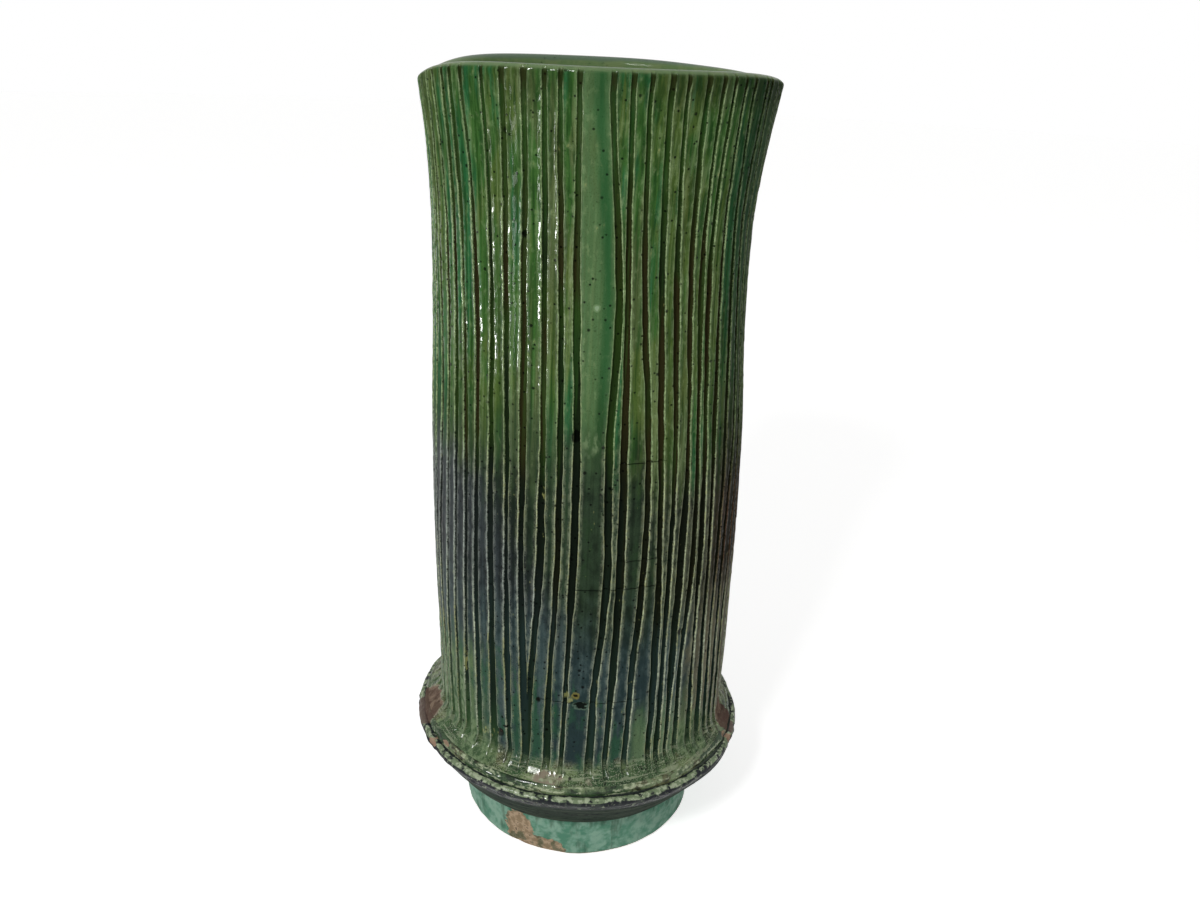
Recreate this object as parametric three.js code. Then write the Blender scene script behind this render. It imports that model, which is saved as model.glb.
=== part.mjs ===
// A tall pottery vase with a wall of hand-cut upright grooves, a flaring mouth, a projecting collar near the
// bottom and a small foot. It is ring-built: each piece below was formed on its own and luted to the one
// under it with slip, along a ridge on the lower piece that sits in a groove in the upper one.
//
// Units are millimetres, +Z is up, and the origin is the centre of the foot's underside. -Y is the front.

import * as THREE from "three";

// Driving sizes: the foot and the saucer that stands on it
const footInset = 16.5;
const footSpread = 2.5;
const footHeight = 25;
const footWall = 12;
const footEdge = 1.5;
const floorThickness = 10;
const saucerHeight = 37;
const saucerWall = 10;
const saucerEdge = 5;
const saucerTuck = 1.6;

// Driving sizes: the collar
const collarOverhang = 14;
const collarHeight = 5;
const collarStepBack = 4;
const collarRound = 1.6;

// Driving sizes: the wall
const bodyRadius = 82.5;
const wallThickness = 8;
const firstRingHeight = 47;
const plainRingHeight = 66;
const plainRingCount = 4;
const mouthHeight = 42;
const skirtSpread = 8;
const skirtHeight = 26;
const bellySwell = 1.2;
const waistDip = 2.7;
const mouthFlare = 5;
const mouthFlareHeight = 74;
const lipRound = 5;
const wallLean = 3.8;

// Driving sizes: the cut grooves
const cutCount = 57;
const cutWidthAtTop = 2.4;
const cutWidthAtFoot = 3.3;
const cutDepth = 1.3;
const cutFadeHeight = 9;
const cutWander = 0.15;
const wideRibTurn = 12;
const wideRibSide = 2.5;

// Driving sizes: the luted joints
const keyWidth = 3;
const keyHeight = 1.5;
const slipGap = 0.3;

// How finely the round shapes are faceted, and how many rows of facets each ring of the wall has
const roundSides = 40;
const firstRingRows = 4;
const plainRingRows = 2;
const mouthRows = 3;

// Sizes that follow from those above
const footRadius = bodyRadius - footInset;
const footTopRadius = footRadius + footSpread;
const footKeyRadius = footTopRadius - footWall / 2;
const collarRadius = bodyRadius + collarOverhang;
const saucerTop = footHeight + saucerHeight;
const wallBottom = saucerTop + collarHeight;
const firstJoint = wallBottom + firstRingHeight;
const mouthJoint = firstJoint + plainRingCount * plainRingHeight;
const wallTop = mouthJoint + mouthHeight;

const degree = Math.PI / 180;
const fullTurn = 2 * Math.PI;
const front = -90 * degree;

// A bell-shaped bump, 1 at the centre and 0 far from it
const bump = (value, centre, spread) => Math.exp(-(((value - centre) / spread) ** 2));

// The share of the wall's height at z, from 0 at the collar to 1 at the lip
const share = (z) => (z - wallBottom) / (wallTop - wallBottom);

// The wall isn't quite upright: how far its centre stands off the foot's axis, along X, at a height
const leanAt = (z) => wallLean * (bump(0, 0.76, 0.38) - bump(share(z), 0.76, 0.38));

// The radius of the wall's outside, without the skirt that spreads over the collar
function wallRadius(z) {
  const belly = bellySwell * bump(share(z), 0.33, 0.22);
  const waist = waistDip * bump(share(z), 0.74, 0.24);
  const flare = Math.max(0, (z - wallTop + mouthFlareHeight) / mouthFlareHeight);
  return bodyRadius + belly - waist + mouthFlare * flare ** 1.5;
}

// The radius of the ribs, which are the outside surface between the cuts
function ribRadius(z) {
  const nearCollar = Math.max(0, 1 - (z - wallBottom) / skirtHeight);
  return wallRadius(z) + skirtSpread * nearCollar ** 2.4;
}

const insideRadius = (z) => wallRadius(z) - wallThickness;
const keyRadius = (z) => wallRadius(z) - wallThickness / 2;

// The middle of every cut at a height, in order round the wall. One wide rib is left at the front, and
// the cuts share out the rest of the wall, each wandering a little as a hand-drawn tool does.
function cutAngles(z) {
  const gap = (360 - wideRibTurn) / (cutCount - 1);
  const first = wideRibSide + wideRibTurn / 2;
  return Array.from({ length: cutCount }, (_, i) => {
    const wander = Math.sin(i * 2.4 + z / 83) * Math.sin(i * 1.7 + z / 61);
    return front + (first + gap * (i + cutWander * wander)) * degree;
  });
}

// The cuts widen downwards and fade out just above the collar
const cutWidth = (z) => THREE.MathUtils.lerp(cutWidthAtFoot, cutWidthAtTop, share(z));
const cutDepthAt = (z) => cutDepth * THREE.MathUtils.smoothstep(z, wallBottom - 2, wallBottom + cutFadeHeight);

// A point of the wall, from a radius and an angle about the wall's own centre at the height centreHeight
function wallPoint(radius, angle, z, centreHeight) {
  const x = leanAt(centreHeight) + radius * Math.cos(angle);
  return { angle, position: new THREE.Vector3(x, radius * Math.sin(angle), z) };
}

// A ring round the grooved outside, drawn in by inset: each cut is an edge, a bottom and an edge
function groovedRing(z, inset = 0) {
  const radius = ribRadius(z) - inset;
  const half = cutWidth(z) / 2 / radius;
  return cutAngles(z).flatMap((angle) => [
    wallPoint(radius, angle - half, z, z),
    wallPoint(radius - cutDepthAt(z), angle, z, z),
    wallPoint(radius, angle + half, z, z),
  ]);
}

// A plain ring of the wall. A key's ring is centred as the joint it belongs to is.
function plainRing(radius, z, centreHeight = z) {
  const step = fullTurn / roundSides;
  return Array.from({ length: roundSides }, (_, i) => wallPoint(radius, i * step, z, centreHeight));
}

// Joins two rings that have as many points each, point to point
function bridge(lower, upper, faces) {
  lower.forEach((point, i) => {
    const next = (i + 1) % lower.length;
    faces.push([point, lower[next], upper[next]], [point, upper[next], upper[i]]);
  });
}

// Joins two rings that have different points: each step is on the ring whose next point comes first
function stitch(lower, upper, faces) {
  const turned = (angle) => THREE.MathUtils.euclideanModulo(angle, fullTurn);
  const inOrder = (ring) => [...ring].sort((p, q) => turned(p.angle) - turned(q.angle));
  const [a, b] = [inOrder(lower), inOrder(upper)];
  const angleAt = (ring, i) => turned(ring[i % ring.length].angle) + fullTurn * Math.floor(i / ring.length);
  let i = 0;
  let j = 0;
  while (i < a.length || j < b.length) {
    const [p, q] = [a[i % a.length], b[j % b.length]];
    if (j === b.length || (i < a.length && angleAt(a, i + 1) <= angleAt(b, j + 1))) {
      i += 1;
      faces.push([p, a[i % a.length], q]);
    } else {
      j += 1;
      faces.push([p, b[j % b.length], q]);
    }
  }
}

// A closed skin through rings that go up the outside of a wall, over its top and down its inside
function skin(rings) {
  const faces = [];
  rings.forEach((ring, k) => {
    const next = rings[(k + 1) % rings.length];
    const join = ring.length === next.length ? bridge : stitch;
    join(ring, next, faces);
  });
  const positions = faces.flat().flatMap((point) => point.position.toArray());
  const geometry = new THREE.BufferGeometry();
  geometry.setAttribute("position", new THREE.Float32BufferAttribute(positions, 3));
  geometry.computeVertexNormals();
  return geometry;
}

// A round piece from a closed outline of radius and height, listed up the outside and down the inside
function turnedPiece(outline) {
  const points = outline.map(([radius, z]) => new THREE.Vector2(radius, z));
  const closesOnAxis = outline[0][0] === 0 && outline.at(-1)[0] === 0;
  if (!closesOnAxis) points.push(points[0].clone());
  return new THREE.LatheGeometry(points, roundSides).rotateX(Math.PI / 2);
}

// The section of a joint's ridge, from outside to inside. With a gap it is the groove that takes the ridge.
function keySection(radius, z, gap = 0) {
  const half = keyWidth / 2 + gap;
  return [
    [radius + half, z],
    [radius, z + keyHeight + gap],
    [radius - half, z],
  ];
}

// The section of the groove in the face that rests on a joint, from inside to outside
const grooveSection = (radius, z) => keySection(radius, z, slipGap).reverse();

// The foot: a ring that spreads upwards, with eased edges where it stands
function footRing() {
  const inside = footRadius - footWall;
  return turnedPiece([
    [footRadius - footEdge, 0],
    [footRadius, footEdge],
    [footTopRadius, footHeight],
    ...keySection(footKeyRadius, footHeight),
    [inside + footSpread, footHeight],
    [inside, footEdge],
    [inside + footEdge, 0],
  ]);
}

// The saucer: its floor closes the vase, its side runs out to the collar, and its rim carries the wall
function baseSaucer() {
  const floor = footHeight + floorThickness;
  const edgeBottom = saucerTop - saucerEdge;
  const sideRun = collarRadius - saucerTuck - footTopRadius;
  const sideRise = edgeBottom - footHeight;
  const sideSlope = sideRise / sideRun;
  const wallShift = saucerWall * Math.hypot(1, sideSlope);
  const insideHeight = (radius) => footHeight + (radius - footTopRadius) * sideSlope + wallShift;
  const cornerHeight = insideHeight(insideRadius(wallBottom));
  const floorRadius = insideRadius(wallBottom) - (cornerHeight - floor) / sideSlope;
  return turnedPiece([
    [0, footHeight],
    ...grooveSection(footKeyRadius, footHeight),
    [footTopRadius, footHeight],
    [collarRadius - saucerTuck, edgeBottom],
    [collarRadius, edgeBottom + saucerEdge / 2],
    [collarRadius - saucerTuck, saucerTop],
    ...keySection(keyRadius(wallBottom), saucerTop),
    [insideRadius(wallBottom), saucerTop],
    [insideRadius(wallBottom), cornerHeight],
    [floorRadius, floor],
    [0, floor],
  ]);
}

// The collar: a flattened coil with a rounded edge, between the saucer's rim and the wall
function collarCoil() {
  const outside = collarRadius - collarStepBack;
  return turnedPiece([
    [outside - collarRound, saucerTop],
    [outside, saucerTop + collarHeight / 2],
    [outside - collarRound, wallBottom],
    ...keySection(keyRadius(wallBottom), wallBottom),
    [insideRadius(wallBottom), wallBottom],
    [insideRadius(wallBottom), saucerTop],
    ...grooveSection(keyRadius(wallBottom), saucerTop),
  ]);
}

// A ring of the wall's height between two joints, as equal rows from bottom to top
const rowHeights = (bottom, top, rows) =>
  Array.from({ length: rows + 1 }, (_, i) => THREE.MathUtils.lerp(bottom, top, i / rows));

const keyRings = (section, joint) => section.map(([radius, z]) => plainRing(radius, z, joint));

// One ring of the wall, which ends at both joints in a flat face with a key
function wallRing(bottom, top, rows) {
  const heights = rowHeights(bottom, top, rows);
  return skin([
    ...heights.map((z) => groovedRing(z)),
    ...keyRings(keySection(keyRadius(top), top), top),
    ...heights.reverse().map((z) => plainRing(insideRadius(z), z)),
    ...keyRings(grooveSection(keyRadius(bottom), bottom), bottom),
  ]);
}

// The mouth ring ends in a rolled lip: the cuts notch its outer edge, and its crown is plain
function mouthRing() {
  const heights = rowHeights(mouthJoint, wallTop - lipRound, mouthRows);
  const middle = keyRadius(wallTop);
  return skin([
    ...heights.map((z) => groovedRing(z)),
    groovedRing(wallTop - lipRound * 0.3, lipRound * 0.3),
    plainRing(middle + wallThickness * 0.1, wallTop),
    plainRing(middle - wallThickness * 0.2, wallTop),
    ...heights.reverse().map((z) => plainRing(insideRadius(z), z)),
    ...keyRings(grooveSection(keyRadius(mouthJoint), mouthJoint), mouthJoint),
  ]);
}

// Finishes
const greenGlaze = { color: 0x3f6b3c, roughness: 0.28, metalness: 0 };
const darkGlaze = { color: 0x22352f, roughness: 0.3, metalness: 0 };
const footGlaze = { color: 0x3c7a5a, roughness: 0.4, metalness: 0 };

const vase = new THREE.Group();

function add(name, geometry, finish) {
  const mesh = new THREE.Mesh(geometry, new THREE.MeshStandardMaterial(finish));
  mesh.name = name;
  vase.add(mesh);
}

add("foot_ring", footRing(), footGlaze);
add("base_saucer", baseSaucer(), darkGlaze);
add("collar_coil", collarCoil(), greenGlaze);
add("wall_ring_1", wallRing(wallBottom, firstJoint, firstRingRows), darkGlaze);
for (let i = 0; i < plainRingCount; i += 1) {
  const bottom = firstJoint + i * plainRingHeight;
  const finish = i < plainRingCount / 2 ? darkGlaze : greenGlaze;
  add(`wall_ring_${i + 2}`, wallRing(bottom, bottom + plainRingHeight, plainRingRows), finish);
}
add("mouth_ring", mouthRing(), greenGlaze);

export default vase;
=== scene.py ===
"""A tall pottery vase, built up from rings of clay and cut all round with upright grooves.

The wall stands on a saucer-shaped base with a projecting collar, over a short spreading foot. A runny
lead-green glaze covers it, which turns slate blue and then dark teal towards the collar. Shapes are worked
out in millimetres and angles in degrees from the front (-Y) towards the right (+X), and made in metres.
"""

import logging
import math
from collections.abc import Sequence
from dataclasses import dataclass, field
from enum import Enum

import bpy
import numpy as np
from mathutils import Matrix, Vector


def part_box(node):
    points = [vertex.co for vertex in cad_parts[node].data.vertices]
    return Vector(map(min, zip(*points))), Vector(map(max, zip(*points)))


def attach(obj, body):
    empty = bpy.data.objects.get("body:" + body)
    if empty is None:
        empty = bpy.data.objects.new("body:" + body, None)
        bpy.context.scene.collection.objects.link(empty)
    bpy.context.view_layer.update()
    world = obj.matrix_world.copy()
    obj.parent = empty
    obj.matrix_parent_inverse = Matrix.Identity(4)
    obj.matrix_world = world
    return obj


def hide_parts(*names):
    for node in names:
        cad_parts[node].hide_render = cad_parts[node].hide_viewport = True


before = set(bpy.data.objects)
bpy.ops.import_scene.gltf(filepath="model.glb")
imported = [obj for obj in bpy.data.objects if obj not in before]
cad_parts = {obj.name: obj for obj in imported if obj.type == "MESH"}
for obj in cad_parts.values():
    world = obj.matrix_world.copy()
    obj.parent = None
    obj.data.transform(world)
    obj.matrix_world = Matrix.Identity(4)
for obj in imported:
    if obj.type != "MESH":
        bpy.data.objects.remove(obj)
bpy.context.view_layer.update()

MM = 0.001
SAME_PLACE = 0.01
ON_AXIS = 0.001
WELD = 0.001
FULL_TURN = 360.0
Array = np.ndarray
log = logging.getLogger("vase")


def smooth_step(low: float, high: float, value: Array) -> Array:
    """Rises smoothly from 0 at low to 1 at high.

    Args:
        low: Value at which the step starts.
        high: Value at which the step ends. It may be below low, and the step then falls.
        value: Values to map.

    Returns:
        The step at each value.
    """
    share = np.clip((value - low) / (high - low), 0.0, 1.0)
    return share * share * (3.0 - 2.0 * share)


def bell(value: Array, centre: float, spread: float) -> Array:
    """A bump that is 1 at the centre and fades over the spread."""
    return np.exp(-(((value - centre) / spread) ** 2))


def turn_between(angle: Array, other: float) -> Array:
    """The signed turn from one angle to another, between -180 and 180 degrees."""
    return np.mod(angle - other + 180.0, FULL_TURN) - 180.0


def foot_of(node: str) -> float:
    """The lowest level of a CAD node in millimetres, which for a ring is the joint it stands on."""
    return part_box(node)[0].z / MM


@dataclass(frozen=True)
class Unevenness:
    """Smooth random unevenness that closes on itself round the vase.

    Attributes:
        seed: Number that fixes the pattern.
        round_step: Turn from one random value to the next, in degrees.
        up_step: Height from one random value to the next, in millimetres.
    """

    seed: int
    round_step: float
    up_step: float

    LOWEST = -40.0
    HIGHEST = 500.0

    def at(self, angle: Array, height: Array) -> Array:
        """Reads the unevenness at points of the vase.

        Args:
            angle: Angles in degrees.
            height: Heights in millimetres, between the lowest and the highest.

        Returns:
            Values between -1 and 1.
        """
        columns = max(3, round(FULL_TURN / self.round_step))
        rows = int((self.HIGHEST - self.LOWEST) / self.up_step) + 3
        lattice = np.random.default_rng(self.seed).uniform(-1.0, 1.0, (rows, columns))
        across = np.mod(angle / FULL_TURN, 1.0) * columns
        up = (height - self.LOWEST) / self.up_step
        left = np.floor(across).astype(int)
        below = np.clip(np.floor(up).astype(int), 0, rows - 2)
        share_right = smooth_step(0.0, 1.0, across - left)
        share_up = smooth_step(0.0, 1.0, up - below)
        left, right = left % columns, (left + 1) % columns
        low = lattice[below, left] * (1 - share_right) + lattice[below, right] * share_right
        high = lattice[below + 1, left] * (1 - share_right) + lattice[below + 1, right] * share_right
        return low * (1 - share_up) + high * share_up


@dataclass(frozen=True)
class Spot:
    """A marked place on the vase, such as a pit or a patch of other glaze.

    Attributes:
        angle: Angle of its middle, in degrees from the front.
        height: Height of its middle, in millimetres.
        half_width: Half its width along the wall, in millimetres.
        half_height: Half its height, in millimetres.
        strength: How deep or how strong it is.
    """

    angle: float
    height: float
    half_width: float
    half_height: float
    strength: float = 1.0

    WALL_RADIUS = 83.0

    def cover(self, angle: Array, height: Array) -> Array:
        """How far points lie under the spot, from its strength in the middle to 0 outside."""
        across = np.radians(turn_between(angle, self.angle)) * self.WALL_RADIUS / self.half_width
        up = (height - self.height) / self.half_height
        return self.strength * smooth_step(1.25, 0.6, np.hypot(across, up))


def covered(spots: Sequence[Spot], angle: Array, height: Array) -> Array:
    """The strongest cover of several spots at each point."""
    return np.max([spot.cover(angle, height) for spot in spots], axis=0)


@dataclass(frozen=True)
class Warp:
    """A place round the vase where the wet clay gave way, most at one angle.

    Attributes:
        angle: Angle at which it gave way most.
        spread: Turn over which it fades, in degrees.
        depth: How far it gave way there, in millimetres.
    """

    angle: float
    spread: float
    depth: float

    def sink(self, angle: Array) -> Array:
        """How far the clay gave way at each angle."""
        return self.depth * bell(turn_between(angle, self.angle), 0.0, self.spread)


RIM_SAGS = (Warp(-86.0, 29.0, 8.5), Warp(96.0, 32.0, 5.2), Warp(140.0, 20.0, 1.0))
COLLAR_DROOP = Warp(82.0, 38.0, 3.2)
COLLAR_PRESS = Warp(82.0, 36.0, 3.0)
COLLAR_OVERHANG = 14.0
BARE_CLAY = (
    Spot(-75.0, 66.0, 15.0, 8.0, 1.0),
    Spot(76.0, 69.0, 10.0, 9.0, 0.95),
    Spot(-9.5, 68.5, 10.0, 3.2, 0.58),
    Spot(4.0, 67.5, 8.0, 2.6, 0.45),
    Spot(160.0, 67.0, 26.0, 5.0, 0.8),
)


@dataclass(frozen=True)
class Crack:
    """A level hairline crack in the wall, between two angles at one height."""

    height: float
    start: float
    end: float

    def cover(self, angle: Array, height: Array) -> Array:
        """1 at the crack's own row of points and 0 elsewhere, fading at its ends."""
        here = np.abs(height - self.height) < SAME_PLACE
        middle, half = (self.start + self.end) / 2, (self.end - self.start) / 2
        return here * smooth_step(half, half - 2.0, np.abs(turn_between(angle, middle)))


@dataclass(frozen=True)
class WallProfile:
    """The plain shape of the wall before it is cut, in millimetres.

    Attributes:
        bottom: Height at which the wall stands on the collar.
        top: Height of the lip.
        body_radius: Radius of the wall's outside where nothing swells or flares.
        thickness: Thickness of the wall.
        skirt_spread: How far the wall sweeps out at its foot.
        skirt_height: Height over which it sweeps out.
        skirt_curve: Power by which the sweep steepens towards the collar.
        belly_swell: How far the wall swells a third of the way up.
        waist_dip: How far it draws in under the mouth.
        mouth_flare: How far it flares at the lip.
        mouth_flare_height: Height over which it flares.
        lean: How far it leans to the left at the waist.
    """

    bottom: float
    top: float
    body_radius: float = 82.5
    thickness: float = 8.0
    skirt_spread: float = 8.0
    skirt_height: float = 11.0
    skirt_curve: float = 2.1
    belly_swell: float = 1.2
    waist_dip: float = 2.7
    mouth_flare: float = 5.0
    mouth_flare_height: float = 74.0
    lean: float = 3.8

    def share(self, height: Array) -> Array:
        """The share of the wall's height, from 0 at the collar to 1 at the lip."""
        return (height - self.bottom) / (self.top - self.bottom)

    @staticmethod
    def bow(share: Array) -> Array:
        """How far the wall bows at a share of its height, most at the waist, where it is 1."""
        return bell(share, 0.76, 0.38)

    def centre(self, height: Array) -> Array:
        """How far the wall's centre stands off the foot's axis, along X."""
        return self.lean * (self.bow(0.0) - self.bow(self.share(height)))

    def wall_radius(self, height: Array) -> Array:
        """Radius of the outside, without the sweep over the collar."""
        belly = self.belly_swell * bell(self.share(height), 0.33, 0.22)
        waist = self.waist_dip * bell(self.share(height), 0.74, 0.24)
        flare = np.maximum(0.0, (height - self.top + self.mouth_flare_height) / self.mouth_flare_height)
        return self.body_radius + belly - waist + self.mouth_flare * flare**1.5

    def rib_radius(self, height: Array) -> Array:
        """Radius of the ribs, which are the outside between the cuts."""
        sweep = np.maximum(0.0, 1.0 - (height - self.bottom) / self.skirt_height)
        return self.wall_radius(height) + self.skirt_spread * sweep**self.skirt_curve

    def inside_radius(self, height: Array) -> Array:
        """Radius of the inside."""
        return self.wall_radius(height) - self.thickness

    def joint_radius(self, height: float) -> float:
        """Radius of the ridge in a joint, which is the middle of the wall."""
        return float(self.inside_radius(height)) + self.thickness / 2


@dataclass(frozen=True)
class Cuts:
    """The upright grooves, each drawn by hand from the lip to the collar.

    The cuts that show at the front have their own paths, as angles at the given heights. The others share
    out the rest of the wall and wander in the same way.

    Attributes:
        heights: Heights at which the paths of the cuts are given, in millimetres.
        left: Paths of the cuts left of the wide rib, from the left edge of the view to the middle.
        right: Paths of the cuts right of it, from the middle to the right edge of the view.
        hidden_count: Number of cuts on the sides and the back.
        width_at_top: Width of a cut at the lip, in millimetres.
        width_at_foot: Width of a cut at the collar.
        depth: Depth of a cut.
        fade_height: Height above the collar over which the cuts run out.
        wander: How the hidden cuts wander.
        wobble: How every cut wavers, as the hand did.
    """

    heights: tuple[float, ...] = (75, 120, 180, 250, 320, 410)
    left: tuple[tuple[float, ...], ...] = (
        (-57.5, -59, -58, -55.5, -55, -57.5),
        (-51.8, -52.5, -52, -50, -50, -51.5),
        (-46.5, -46.5, -45.5, -44.5, -45.5, -47.5),
        (-39.6, -40, -40, -39, -39, -42.5),
        (-32.4, -33, -33, -33, -32.5, -34.5),
        (-25.5, -26.5, -26.5, -26.5, -27, -27.5),
        (-18.8, -20, -21, -20.5, -20.5, -20.5),
        (-18.8, -17.5, -14.5, -13.5, -13.5, -14.5),
        (-10.9, -10.5, -8.5, -7.5, -8, -10),
        (-5.6, -4.5, -3, -2, -3, -4.5),
    )
    right: tuple[tuple[float, ...], ...] = (
        (4.7, 5.5, 8.5, 8.5, 10.5, 4.5),
        (10.6, 11.5, 13, 13.5, 13.5, 10),
        (17.7, 18.5, 21, 22, 19, 15),
        (27.2, 27.5, 27.5, 26.5, 25, 21),
        (30.7, 31, 31.5, 32, 30.5, 26),
        (34.8, 35, 36, 37.5, 36, 32.5),
        (39.4, 39, 41.5, 42, 40.5, 38),
        (46.5, 45.5, 45.5, 45.5, 44, 42.5),
        (52, 51, 50.5, 50.5, 50, 47),
        (57.5, 56, 56, 58, 57, 51.5),
    )
    hidden_count: int = 41
    width_at_top: float = 2.3
    width_at_foot: float = 4.0
    depth: float = 1.5
    fade_height: float = 7.0
    wander: Unevenness = Unevenness(11, 6.0, 75.0)
    wobble: Unevenness = Unevenness(12, 5.9, 13.0)

    @property
    def count(self) -> int:
        """Number of cuts all round."""
        return len(self.left) + len(self.right) + self.hidden_count

    def shown_path(self, path: Sequence[float], height: Array) -> Array:
        """A smooth curve through the angles of one path.

        Args:
            path: Angle of the cut at each of the given heights.
            height: Heights to read it at.

        Returns:
            The angle at each height.
        """
        known = np.array(self.heights, float)
        angles = np.array(path, float)
        slopes = np.gradient(angles, known)
        place = np.clip(height, known[0], known[-1])
        lower = np.clip(np.searchsorted(known, place, side="right") - 1, 0, len(known) - 2)
        gap = known[lower + 1] - known[lower]
        t = (place - known[lower]) / gap
        rise = angles[lower + 1] - angles[lower]
        start = slopes[lower] * gap - rise
        end = rise - slopes[lower + 1] * gap
        return angles[lower] + rise * t + t * (1 - t) * (start * (1 - t) + end * t)

    def angles(self, height: Array) -> Array:
        """The middle of every cut at each height, in order round the vase from the left of the front.

        Args:
            height: Heights to read the cuts at.

        Returns:
            An array with a row for each height and a column for each cut, in degrees.
        """
        shown = [self.shown_path(path, height) for path in self.left + self.right]
        first, last = shown[-1], shown[0] + FULL_TURN
        gap = (last - first) / (self.hidden_count + 1)
        hidden = []
        for number in range(1, self.hidden_count + 1):
            even = first + gap * number
            hidden.append(even + 1.7 * self.wander.at(even + 2.0 * number, height))
        every = np.stack(shown + hidden, axis=1)
        turn = np.arange(self.count) * FULL_TURN / self.count
        every += 0.16 * self.wobble.at(turn[None, :], height[:, None])
        spacing = 0.15 * np.arange(self.count)
        return np.maximum.accumulate(every - spacing, axis=1) + spacing


class WallSurface:
    """The wall's outside as it is after cutting and firing: shape, cuts, pits and where each glaze lies."""

    OFFSETS = np.array([0.0, 0.5, 0.78, 1.0, 1.14, 1.4])
    RIB_COLUMNS = 5
    RIM_SAG_HEIGHT = 42.0

    CRACKS = (
        Crack(114.0, -15.0, 23.0),
        Crack(180.0, -3.0, 29.0),
        Crack(195.0, 12.0, 28.0),
        Crack(246.0, 11.0, 29.0),
        Crack(180.0, 118.0, 150.0),
        Crack(312.0, -150.0, -122.0),
    )
    PITS = (
        Spot(-0.5, 117.6, 1.3, 1.4, 0.9),
        Spot(1.0, 112.6, 4.6, 2.0, 1.8),
        Spot(-2.4, 259.0, 2.2, 3.4, 1.3),
        Spot(-27.4, 393.0, 1.3, 1.8, 0.8),
        Spot(-20.7, 350.0, 1.6, 2.2, 0.9),
        Spot(-29.9, 85.0, 2.8, 3.2, 0.9),
        Spot(-14.4, 113.0, 1.6, 1.8, 0.8),
        Spot(38.0, 148.0, 1.6, 2.6, 0.8),
        Spot(97.0, 280.0, 2.0, 3.0, 0.9),
        Spot(-120.0, 160.0, 2.4, 2.8, 1.0),
        Spot(171.0, 330.0, 1.8, 2.4, 0.9),
    )
    PALE = (
        Spot(3.2, 320.0, 3.4, 2.6, 0.45),
        Spot(2.6, 256.0, 4.6, 9.0, 0.55),
        Spot(22.5, 104.0, 3.6, 5.0, 0.45),
        Spot(-60.0, 96.0, 22.0, 30.0, 0.9),
        Spot(-40.0, 76.0, 20.0, 13.0, 0.75),
        Spot(49.0, 80.0, 19.0, 15.0, 0.75),
        Spot(128.0, 90.0, 30.0, 18.0, 0.7),
        Spot(-142.0, 84.0, 26.0, 15.0, 0.7),
    )
    GOLD = (
        Spot(-3.2, 117.2, 3.4, 3.6, 0.85),
        Spot(-47.0, 118.0, 2.0, 10.0, 0.7),
        Spot(-35.0, 82.0, 6.0, 4.0, 0.5),
        Spot(-13.0, 230.0, 1.6, 4.0, 0.6),
        Spot(30.0, 222.0, 1.4, 2.0, 0.5),
        Spot(-13.5, 208.0, 1.4, 3.0, 0.6),
    )

    def __init__(self, profile: WallProfile, cuts: Cuts) -> None:
        """Keeps the plain shape and the cuts.

        Args:
            profile: The wall before it is cut.
            cuts: The grooves.
        """
        self.profile = profile
        self.cuts = cuts
        self.cell_columns = 2 * len(self.OFFSETS) - 1 + self.RIB_COLUMNS
        self.column_count = cuts.count * self.cell_columns
        self.turn = FULL_TURN / cuts.count
        self.dents = Unevenness(21, 26.0, 48.0)
        self.rib_height = Unevenness(22, self.turn, 20.0)
        self.cut_depth = Unevenness(23, self.turn, 24.0)
        self.edge_beads = Unevenness(24, self.turn / 2, 2.3)
        self.skin = Unevenness(25, 1.4, 3.2)
        self.rib_tone = Unevenness(26, self.turn, 95.0)
        self.cut_width = Unevenness(27, self.turn, 60.0)
        self.pool_tone = Unevenness(28, self.turn, 80.0)
        self.cut_edge = Unevenness(29, self.turn, 6.0)

    def half_width(self, number: Array, height: Array) -> Array:
        """Half the width of a cut in degrees.

        Args:
            number: Number of the cut.
            height: Height at which it is measured.

        Returns:
            Half the width there.
        """
        share = self.profile.share(height)
        width = self.cuts.width_at_foot + (self.cuts.width_at_top - self.cuts.width_at_foot) * share
        turn = number * FULL_TURN / self.cuts.count
        wide = bell(number - len(self.cuts.left), 3.0, 3.2)
        wide = wide * smooth_step(390.0, 330.0, height) * smooth_step(130.0, 190.0, height)
        uneven = 0.32 * self.cut_width.at(turn, height) + 0.11 * self.cut_edge.at(turn, height)
        width = width * (1.0 + 0.24 * wide + uneven)
        return np.degrees(width / 2 / self.profile.rib_radius(height))

    def columns(self, height: Array) -> Array:
        """Angles of the columns of points at each height: close together at each cut, wider on each rib.

        Args:
            height: Heights of the rows.

        Returns:
            An array with a row for each height and a column for each upright line of points.
        """
        here = self.cuts.angles(height)
        following = np.roll(here, -1, axis=1)
        following[:, -1] += FULL_TURN
        half = self.half_width(np.arange(self.cuts.count)[None, :], height[:, None])
        room = 0.46 * (following - here) / self.OFFSETS[-1]
        reach_right = np.minimum(room, half)
        reach_left = np.minimum(room, np.roll(half, -1, axis=1))
        left = here[..., None] + self.OFFSETS * reach_right[..., None]
        right = following[..., None] - self.OFFSETS[:0:-1] * reach_left[..., None]
        share = np.arange(1, self.RIB_COLUMNS + 1) / (self.RIB_COLUMNS + 1)
        rib = left[..., -1:] + (right[..., :1] - left[..., -1:]) * share
        return np.concatenate([left, rib, right], axis=2).reshape(len(height), -1)

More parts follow.
